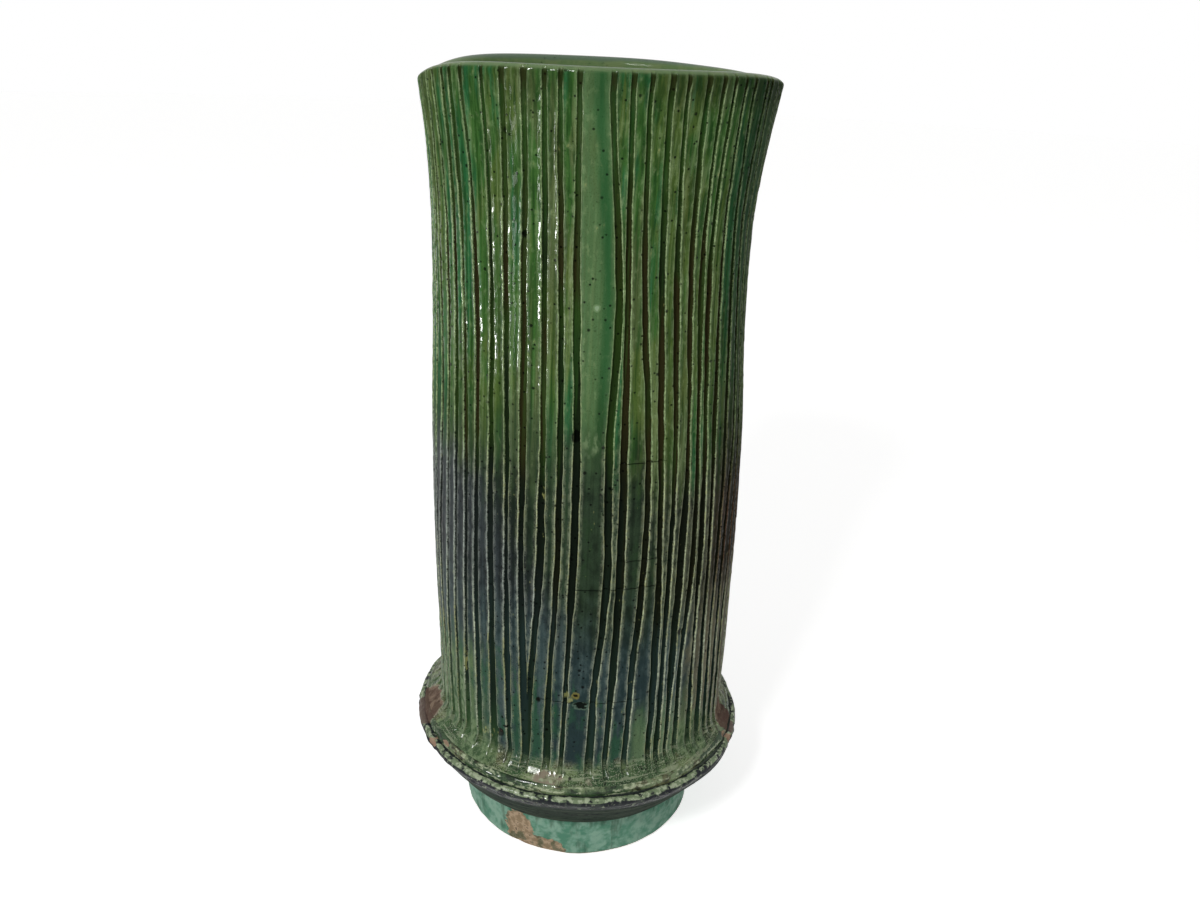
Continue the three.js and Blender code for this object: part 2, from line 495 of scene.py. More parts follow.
    def relief(self, angle: Array, height: Array, column: Array) -> tuple[Array, dict[str, Array]]:
        """How far the outside stands off its plain radius, and where each point lies beside the cuts.

        Args:
            angle: Angles of the points.
            height: Heights of the points.
            column: Number of the upright line of points that each belongs to.

        Returns:
            The relief in millimetres, and the attributes that place each point: the distance from the
            nearest cut in half widths of a cut, the share of the way from the cut at the left to the one at
            the right, the distance from the edge of the nearest cut in millimetres, and the share of the
            full depth that the cuts have there.
        """
        levels, row = np.unique(height, return_inverse=True)
        here = self.cuts.angles(levels)
        cell = column // self.cell_columns
        following = (cell + 1) % self.cuts.count
        half_left, half_right = self.half_width(cell, height), self.half_width(following, height)
        to_left = (angle - here[row, cell]) / half_left
        to_right = (here[row, following] + FULL_TURN * (following == 0) - angle) / half_right
        fade = smooth_step(self.profile.bottom - 1.0, self.profile.bottom + self.cuts.fade_height, height)
        fade *= smooth_step(self.profile.top - 0.5, self.profile.top - 2.2, height)

        def groove(number: Array, distance: Array) -> Array:
            """Depth of one cut at a distance from its middle."""
            depth = self.cuts.depth * fade * (1.0 + 0.22 * self.cut_depth.at(number * self.turn, height))
            depth *= 1.0 - 0.45 * smooth_step(350.0, 405.0, height)
            return depth * smooth_step(1.0, 0.56, distance)

        distance = np.minimum(to_left, to_right)
        beads = 0.5 + 0.5 * self.edge_beads.at(angle, height)
        bead = 0.3 * beads * bell(distance, 1.14, 0.15)
        bank = (0.25 + 0.05 * beads) * bell(distance, 1.5, 0.4)
        rib = 0.28 * fade * self.rib_height.at((cell + 0.5) * self.turn, height)
        relief = fade * (bead + bank) - np.maximum(groove(cell, to_left), groove(following, to_right))
        relief += rib * smooth_step(1.0, 1.6, distance)
        relief += 0.55 * self.dents.at(angle, height)
        relief += 0.07 * self.skin.at(angle, height)
        relief -= covered(self.PITS, angle, height)
        relief -= 0.5 * self.cracked(angle, height)
        half = np.where(to_left < to_right, half_left, half_right)
        return relief, {
            "cut": np.minimum(distance, 4.0),
            "across": to_left / (to_left + to_right),
            "beside": (distance - 1.0) * np.radians(half) * self.profile.rib_radius(height),
            "fade": fade,
        }

    def sag(self, angle: Array, height: Array, outer: Array) -> tuple[Array, Array]:
        """How far the mouth sags all through, and how the outside of the wall's foot follows the collar.

        Args:
            angle: Angles of the points.
            height: Heights of the points.
            outer: How far each point belongs to the outside.

        Returns:
            How far each point moves down and how far it moves in, in millimetres.
        """
        rim = sum(warp.sink(angle) for warp in RIM_SAGS)
        rim = rim * smooth_step(self.profile.top - self.RIM_SAG_HEIGHT, self.profile.top, height)
        skirt_top = self.profile.bottom + self.profile.skirt_height
        foot = outer * smooth_step(skirt_top, self.profile.bottom, height)
        return rim + foot * COLLAR_DROOP.sink(angle), foot * COLLAR_PRESS.sink(angle)

    def cracked(self, angle: Array, height: Array) -> Array:
        """Where the hairline cracks run."""
        return np.max([crack.cover(angle, height) for crack in self.CRACKS], axis=0)

    def tints(self, angle: Array, height: Array, column: Array) -> dict[str, Array]:
        """Where each tint of the glaze lies.

        Args:
            angle: Angles of the points.
            height: Heights of the points.
            column: Number of the upright line of points that each belongs to.

        Returns:
            The values of each named attribute that the glaze reads.
        """
        cell = column // self.cell_columns
        nearest_cut = np.rint(column / self.cell_columns)
        side = np.sin(np.radians(angle))
        uneven = 6.0 * self.dents.at(angle + 90.0, height)
        uneven += 8.0 * self.rib_tone.at(cell * self.turn, height)
        green_limit = 240.0 - 9.0 * smooth_step(-0.6, -0.9, side) - 4.0 * side + uneven
        green_blend = 14.0 + 11.0 * smooth_step(-0.45, 0.1, side)
        teal_limit = 160.0 + 12.0 * self.dents.at(angle + 200.0, height)
        return {
            "rib": 0.5 + 0.5 * self.rib_tone.at((cell + 0.5) * self.turn, height),
            "pool": 0.5 + 0.5 * self.pool_tone.at(nearest_cut * self.turn, height),
            "wide": (cell == len(self.cuts.left) - 1).astype(float),
            "green": (height - green_limit) / green_blend,
            "teal": (teal_limit - height) / 25.0,
            "run": self.shown_run(angle, height),
            "pale": covered(self.PALE, angle, height),
            "bare": covered(BARE_CLAY, angle, height),
            "gold": covered(self.GOLD, angle, height),
            "pit": covered(self.PITS, angle, height),
            "crack": self.cracked(angle, height),
            "lip": smooth_step(self.profile.top - 2.2, self.profile.top - 0.9, height),
        }

    def shown_run(self, angle: Array, height: Array) -> Array:
        """The run of vivid green at the left of the first cut right of the wide rib, and others like it.

        Args:
            angle: Angles of the points.
            height: Heights of the points.

        Returns:
            1 where the runs lie and 0 elsewhere.
        """
        middle = self.cuts.shown_path(self.cuts.right[0], height) - 3.3
        front = smooth_step(3.6, 0.2, np.abs(turn_between(angle, 0.0) - middle))
        front = front * smooth_step(216.0, 250.0, height)
        others = [(104.0, 275.0), (163.0, 250.0), (-128.0, 290.0), (-86.0, 262.0)]
        runs = [
            smooth_step(2.6, 1.2, np.abs(turn_between(angle, place))) * smooth_step(low, low + 30.0, height)
            for place, low in others
        ]
        return np.max([front, *runs], axis=0)


def deselect_all() -> None:
    """Leaves object mode ready for a new primitive, with nothing selected."""
    if bpy.context.object and bpy.context.object.mode != "OBJECT":
        bpy.ops.object.mode_set(mode="OBJECT")
    bpy.ops.object.select_all(action="DESELECT")


def select_vertices(piece: bpy.types.Object, chosen: Sequence[int]) -> None:
    """Selects only the chosen vertices of a piece in object mode.

    Args:
        piece: The piece.
        chosen: Numbers of its vertices.
    """
    piece.data.polygons.foreach_set("select", np.zeros(len(piece.data.polygons), bool))
    piece.data.edges.foreach_set("select", np.zeros(len(piece.data.edges), bool))
    mask = np.zeros(len(piece.data.vertices), bool)
    mask[list(chosen)] = True
    piece.data.vertices.foreach_set("select", mask)


@dataclass(frozen=True)
class Corner:
    """A corner of a section, in millimetres, with the radius that rounds it off."""

    radius: float
    height: float
    round: float = 0.0


def draw_section(name: str, corners: Sequence[Corner]) -> bpy.types.Object:
    """Draws a closed section in the XZ plane: a circle whose points are moved to the corners and rounded.

    Args:
        name: Name of the piece.
        corners: The section's corners in order.

    Returns:
        The piece, which is only an outline so far.
    """
    deselect_all()
    bpy.ops.mesh.primitive_circle_add(vertices=len(corners), fill_type="NOTHING")
    piece = bpy.context.object
    piece.name = name
    piece.data.name = name
    for vertex, corner in zip(piece.data.vertices, corners):
        vertex.co = (corner.radius * MM, 0.0, corner.height * MM)
    for corner in corners:
        if corner.round:
            place = Vector((corner.radius * MM, 0.0, corner.height * MM))
            nearest = min(piece.data.vertices, key=lambda vertex: (vertex.co - place).length)
            select_vertices(piece, [nearest.index])
            bpy.ops.object.mode_set(mode="EDIT")
            bpy.ops.mesh.bevel(offset=corner.round * MM, offset_type="OFFSET", segments=4, affect="VERTICES")
            bpy.ops.object.mode_set(mode="OBJECT")
    return piece


def divide_section(piece: bpy.types.Object, spacing: float, shown_from: float) -> None:
    """Subdivides the edges of a section until its points are no further apart than the spacing.

    Args:
        piece: The outline.
        spacing: Largest distance between points, in millimetres.
        shown_from: Radius inside which nothing is seen, and points may be four times as far apart.
    """
    hidden_factor, enough = 4.0, 1.001
    while True:
        mesh = piece.data
        parts = []
        for edge in mesh.edges:
            start, end = (mesh.vertices[index].co / MM for index in edge.vertices)
            hidden = max(start.x, end.x) < shown_from
            parts.append((end - start).length / (spacing * (hidden_factor if hidden else 1.0)))
        longest = max(range(len(parts)), key=parts.__getitem__)
        if parts[longest] <= enough:
            return
        select_vertices(piece, mesh.edges[longest].vertices)
        bpy.ops.object.mode_set(mode="EDIT")
        bpy.ops.mesh.subdivide(number_cuts=math.ceil(parts[longest]) - 1)
        bpy.ops.object.mode_set(mode="OBJECT")


def cut_axis_edge(piece: bpy.types.Object) -> None:
    """Deletes the edge of a section that lies on the axis, so that the spin leaves no wall there.

    Args:
        piece: The outline.
    """
    on_axis = [vertex.index for vertex in piece.data.vertices if abs(vertex.co.x) < ON_AXIS * MM]
    if not on_axis:
        return
    select_vertices(piece, on_axis)
    bpy.ops.object.mode_set(mode="EDIT")
    bpy.ops.mesh.delete(type="EDGE")
    bpy.ops.object.mode_set(mode="OBJECT")


def spin_section(piece: bpy.types.Object, steps: int, parts: int) -> None:
    """Spins a section into a closed ring, then divides each step of the spin into equal parts.

    The radius of each point is kept in the attribute "radius", because the divided steps are chords.

    Args:
        piece: The outline, which becomes the ring.
        steps: Number of steps of the spin.
        parts: Number of parts of each step.
    """
    radius = piece.data.attributes.new("radius", "FLOAT", "POINT")
    radius.data.foreach_set("value", [vertex.co.x / MM for vertex in piece.data.vertices])
    bpy.ops.object.mode_set(mode="EDIT")
    bpy.ops.mesh.select_all(action="SELECT")
    bpy.ops.mesh.spin(steps=steps, angle=math.tau, center=(0.0, 0.0, 0.0), axis=(0.0, 0.0, 1.0))
    bpy.ops.mesh.select_all(action="SELECT")
    bpy.ops.mesh.remove_doubles(threshold=WELD * MM)
    bpy.ops.object.mode_set(mode="OBJECT")
    mesh = piece.data
    points = mesh_points(piece)
    ends = np.zeros(len(mesh.edges) * 2, int)
    mesh.edges.foreach_get("vertices", ends)
    ends = ends.reshape(-1, 2)
    level = np.abs(points[ends[:, 0], 2] - points[ends[:, 1], 2]) < SAME_PLACE
    radii = np.hypot(points[:, 0], points[:, 1])
    same_radius = np.abs(radii[ends[:, 0]] - radii[ends[:, 1]]) < SAME_PLACE
    select_vertices(piece, [])
    mesh.edges.foreach_set("select", level & same_radius)
    bpy.context.tool_settings.mesh_select_mode = (False, True, False)
    bpy.ops.object.mode_set(mode="EDIT")
    bpy.ops.mesh.subdivide(number_cuts=parts - 1)
    bpy.ops.mesh.select_all(action="SELECT")
    bpy.ops.mesh.normals_make_consistent(inside=False)
    bpy.ops.object.mode_set(mode="OBJECT")
    bpy.context.tool_settings.mesh_select_mode = (True, False, False)


def mesh_points(piece: bpy.types.Object) -> Array:
    """The places of a piece's points, in millimetres."""
    flat = np.zeros(len(piece.data.vertices) * 3)
    piece.data.vertices.foreach_get("co", flat)
    return flat.reshape(-1, 3) / MM


def set_points(piece: bpy.types.Object, points: Array) -> None:
    """Moves a piece's points to places given in millimetres."""
    piece.data.vertices.foreach_set("co", (points * MM).ravel())
    piece.data.update()


def places_round(radius: Array, angle: Array, height: Array) -> Array:
    """Points round the axis, from their radii, their angles from the front and their heights."""
    turn = np.radians(angle)
    return np.stack([radius * np.sin(turn), -radius * np.cos(turn), height], axis=1)


def section_radius(piece: bpy.types.Object) -> Array:
    """The radius that each point had in the section, in millimetres."""
    values = np.zeros(len(piece.data.vertices))
    piece.data.attributes["radius"].data.foreach_get("value", values)
    return values


def keep_attributes(piece: bpy.types.Object, attributes: dict[str, Array]) -> None:
    """Keeps named values for each point of a piece, for its material to read."""
    for name, values in attributes.items():
        layer = piece.data.attributes.new(name, "FLOAT", "POINT")
        layer.data.foreach_set("value", np.asarray(values, np.float32))


def smooth_shading(piece: bpy.types.Object, angle: float) -> None:
    """Shades a piece smoothly, apart from edges sharper than the angle in degrees."""
    deselect_all()
    piece.select_set(True)
    bpy.context.view_layer.objects.active = piece
    bpy.ops.object.shade_smooth_by_angle(angle=math.radians(angle))


@dataclass(frozen=True)
class Key:
    """The ridge in each joint, which sits in a groove in the piece above, in millimetres."""

    width: float = 3.0
    height: float = 1.5
    slip_gap: float = 0.3

    def ridge(self, radius: float, height: float) -> list[Corner]:
        """The ridge's section, from outside to inside."""
        half = self.width / 2
        return [
            Corner(radius + half, height),
            Corner(radius, height + self.height),
            Corner(radius - half, height),
        ]

    def groove(self, radius: float, height: float) -> list[Corner]:
        """The groove's section, from inside to outside."""
        half = self.width / 2 + self.slip_gap
        return [
            Corner(radius - half, height),
            Corner(radius, height + self.height + self.slip_gap),
            Corner(radius + half, height),
        ]


@dataclass
class Piece:
    """A piece of the vase that stands for one CAD node.

    Attributes:
        node: Name of the CAD node.
        slot: The record's material slot.
        mesh: The finished object.
    """

    node: str
    slot: str
    mesh: bpy.types.Object | None = field(default=None, init=False)

    @property
    def name(self) -> str:
        """Name of the Blender object."""
        return f"{self.node}_fired"

    def build(self) -> None:
        """Makes the piece's mesh."""
        raise NotImplementedError

    def dress(self, glaze: bpy.types.Material) -> None:
        """Gives the piece its material and lets it stand for its CAD node.

        Args:
            glaze: The finish.
        """
        self.mesh.data.materials.clear()
        self.mesh.data.materials.append(glaze)
        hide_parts(self.node)
        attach(self.mesh, "root")


@dataclass
class WallRing(Piece):
    """One ring of the wall, between two joints.

    Attributes:
        surface: The wall's surface, shared by all its rings.
        bottom: Height of the joint below.
        top: Height of the joint above.
        key: The ridge in each joint.
        row_height: Height of a row of faces.
        crack_half: Half the height of the notch that a crack makes.
        row_room: Least distance of a row from those at a crack or a joint.
        joint_ease: How far outwards from the ridge a joint's flat has a point.
    """

    surface: WallSurface
    bottom: float
    top: float
    key: Key = Key()
    row_height: float = 1.15
    crack_half: float = 0.35
    row_room: float = 0.8
    joint_ease: float = 2.7

    INSIDE_ROWS = 8
    SMOOTH_BELOW = 75.0

    def rows(self, top: float) -> list[float]:
        """Heights of the rows of points on the outside, with close rows at each crack and joint.

        Args:
            top: Height of the last row.

        Returns:
            The heights in order.
        """
        count = round((top - self.bottom) / self.row_height)
        regular = np.linspace(self.bottom, top, count + 1)
        fine = [self.bottom + self.crack_half, self.top - self.crack_half]
        for crack in self.surface.CRACKS:
            fine += [crack.height - self.crack_half, crack.height, crack.height + self.crack_half]
        fine = [height for height in fine if self.bottom < height < top]
        clear = [z for z in regular[1:-1] if all(abs(z - other) > self.row_room for other in fine)]
        return sorted({self.bottom, *clear, *fine, top})

    def outside(self, heights: Sequence[float]) -> list[Corner]:
        """Corners of the outside, from bottom to top."""
        return [Corner(float(self.surface.profile.rib_radius(z)), z) for z in heights]

    def inside(self, top: float) -> list[Corner]:
        """Corners of the inside, from top to bottom."""
        heights = np.linspace(self.bottom, top, self.INSIDE_ROWS)
        return [Corner(float(self.surface.profile.inside_radius(z)), z) for z in heights][::-1]

    def crown(self) -> list[Corner]:
        """Corners of the top face, from outside to inside: the ridge that carries the next ring."""
        radius = self.surface.profile.joint_radius(self.top)
        return [Corner(radius + self.joint_ease, self.top), *self.key.ridge(radius, self.top)]

    def sole(self) -> list[Corner]:
        """Corners of the bottom face, from inside to outside: the groove that takes the ridge below."""
        radius = self.surface.profile.joint_radius(self.bottom)
        return [*self.key.groove(radius, self.bottom), Corner(radius + self.joint_ease, self.bottom)]

    def section(self) -> list[Corner]:
        """The ring's section: up the outside, over the top, down the inside and back along the bottom."""
        return [*self.outside(self.rows(self.top)), *self.crown(), *self.inside(self.top), *self.sole()]

    def build(self) -> None:
        """Spins the section with a step for each cut, then cuts the grooves and keeps the glaze's tints."""
        self.mesh = draw_section(self.name, self.section())
        spin_section(self.mesh, self.surface.cuts.count, self.surface.cell_columns)
        points = mesh_points(self.mesh)
        heights = np.round(points[:, 2], 3)
        radius = section_radius(self.mesh)
        profile, columns = self.surface.profile, self.surface.column_count
        turn = np.mod(np.degrees(np.arctan2(points[:, 1], points[:, 0])), FULL_TURN)
        column = np.rint(turn / FULL_TURN * columns).astype(int) % columns
        levels, row = np.unique(heights, return_inverse=True)
        angle = self.surface.columns(levels)[row, column]
        inside = profile.inside_radius(heights)
        outer = smooth_step(0.5, 0.97, (radius - inside) / (profile.rib_radius(heights) - inside))
        relief, attributes = self.surface.relief(angle, heights, column)
        down, inwards = self.surface.sag(angle, heights, outer)
        places = places_round(radius + outer * relief - inwards, angle, heights - down)
        places[:, 0] += profile.centre(heights)
        set_points(self.mesh, places)
        attributes |= {"outer": outer, **self.surface.tints(angle, heights, column)}
        keep_attributes(self.mesh, attributes)
        smooth_shading(self.mesh, self.SMOOTH_BELOW)


@dataclass
class MouthRing(WallRing):
    """The last ring, whose top is a plain rolled lip. The cuts end just under it.

    Attributes:
        lip: Height of the rolled lip.
        lip_steps: Number of faces across the lip.
    """

    lip: float = 3.8
    lip_steps: int = 14

    def section(self) -> list[Corner]:
        """The ring's section, with the lip as half an oval."""
        profile = self.surface.profile
        shoulder = self.top - self.lip
        corners = self.outside(self.rows(shoulder))
        for step in range(1, self.lip_steps):
            turn = math.pi * step / self.lip_steps
            height = shoulder + self.lip * math.sin(turn) ** 0.8
            across = (1.0 + math.cos(turn)) / 2.0
            inner = float(profile.inside_radius(height))
            corners.append(Corner(inner + across * (float(profile.rib_radius(height)) - inner), height))
        return [*corners, *self.inside(shoulder), *self.sole()]


@dataclass(frozen=True)
class FootSizes:
    """Sizes that the foot and the saucer on it share, in millimetres.

    Attributes:
        inset: How far the foot's sole lies inside the body.
        spread: How much wider the foot is at its top.
        wall: Thickness of the foot.
    """

    inset: float = 15.2
    spread: float = 1.6
    wall: float = 12.0


@dataclass
class TurnedPiece(Piece):
    """A round piece of the base, uneven where it shows.

    Attributes:
        profile: The wall that the base carries.
        key: The ridge in each joint.
        foot: Sizes of the foot.
        steps: Number of steps of the spin.
        parts: Number of parts of each step.
        spacing: Distance between the points of its section.
        shown_from: Radius inside which nothing is seen, and the points lie further apart.
    """

    profile: WallProfile
    key: Key = Key()
    foot: FootSizes = FootSizes()
    steps: int = 60
    parts: int = 16
    spacing: float = 0.9
    shown_from: float = 0.0

    SMOOTH_BELOW = 60.0

    @property
    def foot_top_radius(self) -> float:
        """Radius of the foot's top, where the side of the saucer starts."""
        return self.profile.body_radius - self.foot.inset + self.foot.spread

    def section(self) -> list[Corner]:
        """The piece's section."""
        raise NotImplementedError

    def relief(self, radius: Array, angle: Array, height: Array) -> tuple[Array, Array]:
        """How far points move outwards and upwards.

        Args:
            radius: Radii in the section.
            angle: Angles of the points.
            height: Heights of the points.

        Returns:
            The two distances in millimetres.
        """
        raise NotImplementedError

    def tints(self, radius: Array, angle: Array, height: Array) -> dict[str, Array]:
        """Values of each named attribute that the glaze reads.

        Args:
            radius: Radii in the section.
            angle: Angles of the points.
            height: Heights of the points.

        Returns:
            The values by the attribute's name.
        """
        raise NotImplementedError

    def build(self) -> None:
        """Spins the section and gives it the unevenness of clay worked by hand."""
        self.mesh = draw_section(self.name, self.section())
        cut_axis_edge(self.mesh)
        divide_section(self.mesh, self.spacing, self.shown_from)
        spin_section(self.mesh, self.steps, self.parts)
        points = mesh_points(self.mesh)
        radius = section_radius(self.mesh)
        angle = np.degrees(np.arctan2(points[:, 0], -points[:, 1]))
        height = points[:, 2]
        outwards, upwards = self.relief(radius, angle, height)
        finished = np.where(radius < ON_AXIS, 0.0, radius + outwards)
        set_points(self.mesh, places_round(finished, angle, height + upwards))
        keep_attributes(self.mesh, self.tints(radius, angle, height))
        smooth_shading(self.mesh, self.SMOOTH_BELOW)


def collar_share(radius: Array) -> Array:
    """How far points follow the collar where it droops, from 0 under the wall to 1 at its outer edge."""
    return smooth_step(82.7, 90.5, radius)


@dataclass
class CollarCoil(TurnedPiece):
    """The flattened coil under the wall, which is the collar's upper ridge.

    Attributes:
        step_back: How far the coil lies behind the saucer's rim.
        round: How far its upper edge is rounded.
        tuck: How far its lower edge lies behind its outermost line.
    """

    step_back: float = 4.0
    round: float = 1.6
    tuck: float = 0.6

    SWELL = Unevenness(31, 17.0, 60.0)
    LUMPS = Unevenness(32, 2.6, 2.6)
    CHIPS = (
        Spot(-52.0, 64.5, 3.4, 1.6, 0.9),
        Spot(68.0, 64.5, 3.0, 2.0, 1.0),
    )

    def section(self) -> list[Corner]:
        """A low ring with a rounded edge, a groove below and a ridge above."""
        bottom, top = foot_of(self.node), self.profile.bottom
        outside = self.profile.body_radius + COLLAR_OVERHANG - self.step_back
        inner = float(self.profile.inside_radius(top))
        middle = self.profile.joint_radius(top)
        return [
            Corner(outside - self.tuck, bottom),
            Corner(outside, (bottom + top) / 2, 1.3),
            Corner(outside - self.round, top),
            *self.key.ridge(middle, top),
            Corner(inner, top),
            Corner(inner, bottom),
            *self.key.groove(middle, bottom),
        ]

    def relief(self, radius: Array, angle: Array, height: Array) -> tuple[Array, Array]:
        """Lumps of slip and glaze round the outside, which droops at the right."""
        shown = smooth_step(86.0, 90.5, radius)
        outwards = 0.7 * self.SWELL.at(angle, height) + 0.35 * self.LUMPS.at(angle, height)
        outwards -= covered(self.CHIPS, angle, height) + COLLAR_PRESS.sink(angle)
        return shown * outwards, -collar_share(radius) * COLLAR_DROOP.sink(angle)

    def tints(self, radius: Array, angle: Array, height: Array) -> dict[str, Array]:
        """The chips and the bare patches."""
        return {"chip": covered(self.CHIPS, angle, height), "bare": covered(BARE_CLAY[:2], angle, height)}


@dataclass
class BaseSaucer(TurnedPiece):
    """The vase's floor, the underside that tapers in to the foot, and the collar's lower ridge.

    Attributes:
        floor_thickness: Thickness of the floor.
        wall: Thickness of the sloping side.
        edge: Height of the ridge.
        tuck: How far the ridge's corners lie inside its outermost line.
        fullness: How far the underside swells past a straight slope.
    """

    floor_thickness: float = 10.0
    wall: float = 10.0
    edge: float = 5.0
    tuck: float = 1.6
    fullness: float = 2.2
    parts: int = 10
    shown_from: float = 69.0

    SWELL = Unevenness(41, 21.0, 60.0)
    LUMPS = Unevenness(42, 5.0, 2.2)
    GRIT = Unevenness(43, 2.0, 1.3)
    CHIPS = (
        Spot(-58.0, 60.5, 4.0, 1.6, 1.1),
        Spot(70.0, 60.5, 3.2, 2.0, 1.3),
        Spot(-150.0, 59.5, 5.0, 2.6, 1.4),
    )

    @property
    def rim_radius(self) -> float:
        """Radius of the ridge."""
        return self.profile.body_radius + COLLAR_OVERHANG

    @property
    def corner_radius(self) -> float:
        """Radius of the ridge's upper and lower corners."""
        return self.rim_radius - self.tuck

    def side_height(self, radius: Array) -> Array:
        """Height of the sloping underside at a radius."""
        bottom = foot_of(self.node)
        run = self.corner_radius - self.foot_top_radius
        rise = foot_of("collar_coil") - self.edge - bottom
        return bottom + (radius - self.foot_top_radius) * rise / run

    def section(self) -> list[Corner]:
        """Floor, groove, sloping side, ridge, and the inside back to the floor."""
        bottom, top = foot_of(self.node), foot_of("collar_coil")
        edge_bottom = top - self.edge
        floor = bottom + self.floor_thickness
        slope = (edge_bottom - bottom) / (self.corner_radius - self.foot_top_radius)
        shift = self.wall * math.hypot(1.0, slope)
        inner = float(self.profile.inside_radius(self.profile.bottom))
        corner_height = float(self.side_height(inner)) + shift
        floor_radius = inner - (corner_height - floor) / slope
        return [
            Corner(0.0, bottom),
            *self.key.groove(self.foot_top_radius - self.foot.wall / 2, bottom),
            Corner(self.foot_top_radius, bottom, 0.8),
            Corner(self.corner_radius, edge_bottom, 1.4),
            Corner(self.rim_radius, edge_bottom + self.edge / 2, 1.2),
            Corner(self.corner_radius, top, 0.8),
            *self.key.ridge(self.profile.joint_radius(self.profile.bottom), top),
            Corner(inner, top),
            Corner(inner, corner_height, 3.0),
            Corner(floor_radius, floor, 5.0),
            Corner(0.0, floor),
        ]

    def relief(self, radius: Array, angle: Array, height: Array) -> tuple[Array, Array]:
        """A rough, pitted ridge, and a full underside with turning marks."""
        bottom, top = foot_of(self.node), foot_of("collar_coil")
        ridge = smooth_step(90.5, 93.5, radius)
        side = smooth_step(5.0, 2.0, height - self.side_height(radius))
        worked = side * smooth_step(70.0, 74.0, radius)
        rough = 0.45 * self.LUMPS.at(angle, height) + 0.35 * self.GRIT.at(angle, height)
        outwards = 0.8 * self.SWELL.at(angle, height) * np.maximum(ridge, worked)
        outwards += ridge * (rough - covered(self.CHIPS, angle, height) - COLLAR_PRESS.sink(angle))
        outwards += worked * (1.0 - ridge) * 0.3 * self.LUMPS.at(angle * 0.25, height)
        share = np.clip((height - bottom) / (top - self.edge - bottom), 0.0, 1.0)
        outwards += self.fullness * side * smooth_step(68.4, 70.5, radius) * np.sin(math.pi * share**0.7)
        upwards = smooth_step(93.2, 95.0, radius) * 0.35 * self.LUMPS.at(angle + 77.0, height)
        upwards *= smooth_step(top - 6.0, top - 3.0, height)
        return outwards, upwards - collar_share(radius) * COLLAR_DROOP.sink(angle)

    def tints(self, radius: Array, angle: Array, height: Array) -> dict[str, Array]:
        """The ridge's upper and outer faces, the chips and the inside."""
        top = foot_of("collar_coil")
        shown = np.maximum(height - self.side_height(radius) < 4.0, radius > 88.0)
        return {
            "crest": smooth_step(92.0, 94.5, radius) * smooth_step(top - 2.4, top - 0.6, height),
            "ridge": smooth_step(90.0, 93.5, radius),
            "chip": covered(self.CHIPS, angle, height),
            "bare": covered(BARE_CLAY[:2], angle, height),
            "outer": shown.astype(float),
        }


@dataclass
class FootRing(TurnedPiece):
    """The foot, a ring that spreads a little upwards.

    Attributes:
        ease: How far the edges it stands on are eased.
    """

    ease: float = 1.5

    SWELL = Unevenness(51, 24.0, 30.0)
    LUMPS = Unevenness(52, 4.0, 4.0)
    BARE = (
        Spot(-27.0, 11.0, 12.0, 16.0, 1.0),
        Spot(-14.0, 3.0, 16.0, 8.0, 1.0),
        Spot(122.0, 8.0, 16.0, 12.0, 0.9),
        Spot(-160.0, 5.0, 12.0, 9.0, 0.9),
    )

    def section(self) -> list[Corner]:
        """The foot's section."""
        top = foot_of("base_saucer")
        sole = self.profile.body_radius - self.foot.inset
        inner = sole - self.foot.wall
        return [
            Corner(sole - self.ease, 0.0, 0.8),
            Corner(sole, self.ease, 1.2),
            Corner(self.foot_top_radius, top, 0.6),
            *self.key.ridge(self.foot_top_radius - self.foot.wall / 2, top),
            Corner(inner + self.foot.spread, top),
            Corner(inner, self.ease),
            Corner(inner + self.ease, 0.0),
        ]

    def relief(self, radius: Array, angle: Array, height: Array) -> tuple[Array, Array]:
        """A side pressed uneven by hand."""
        top = foot_of("base_saucer")
        shown = smooth_step(62.0, 65.0, radius) * smooth_step(top, top - 3.0, height)
        outwards = shown * (0.6 * self.SWELL.at(angle, height) + 0.18 * self.LUMPS.at(angle, height))
        outwards -= shown * 0.35 * covered(self.BARE, angle, height)
        return outwards, np.zeros_like(height)

    def tints(self, radius: Array, angle: Array, height: Array) -> dict[str, Array]:
        """The bare patches and the unglazed sole and recess."""
        outside = smooth_step(62.6, 64.6, radius) * smooth_step(0.2, 2.2, height)
        return {"bare": covered(self.BARE, angle, height), "glazed": outside}


@dataclass(frozen=True)
class Paint:
    """A colour as a screen shows it, from 0 to 255 in each channel."""

    red: int
    green: int
    blue: int

    def linear(self) -> tuple[float, float, float, float]:
        """The colour in the linear light that materials use, with full alpha."""
        shares = [channel / 255.0 for channel in (self.red, self.green, self.blue)]
        light = [s / 12.92 if s <= 0.04045 else ((s + 0.055) / 1.055) ** 2.4 for s in shares]
        return light[0], light[1], light[2], 1.0


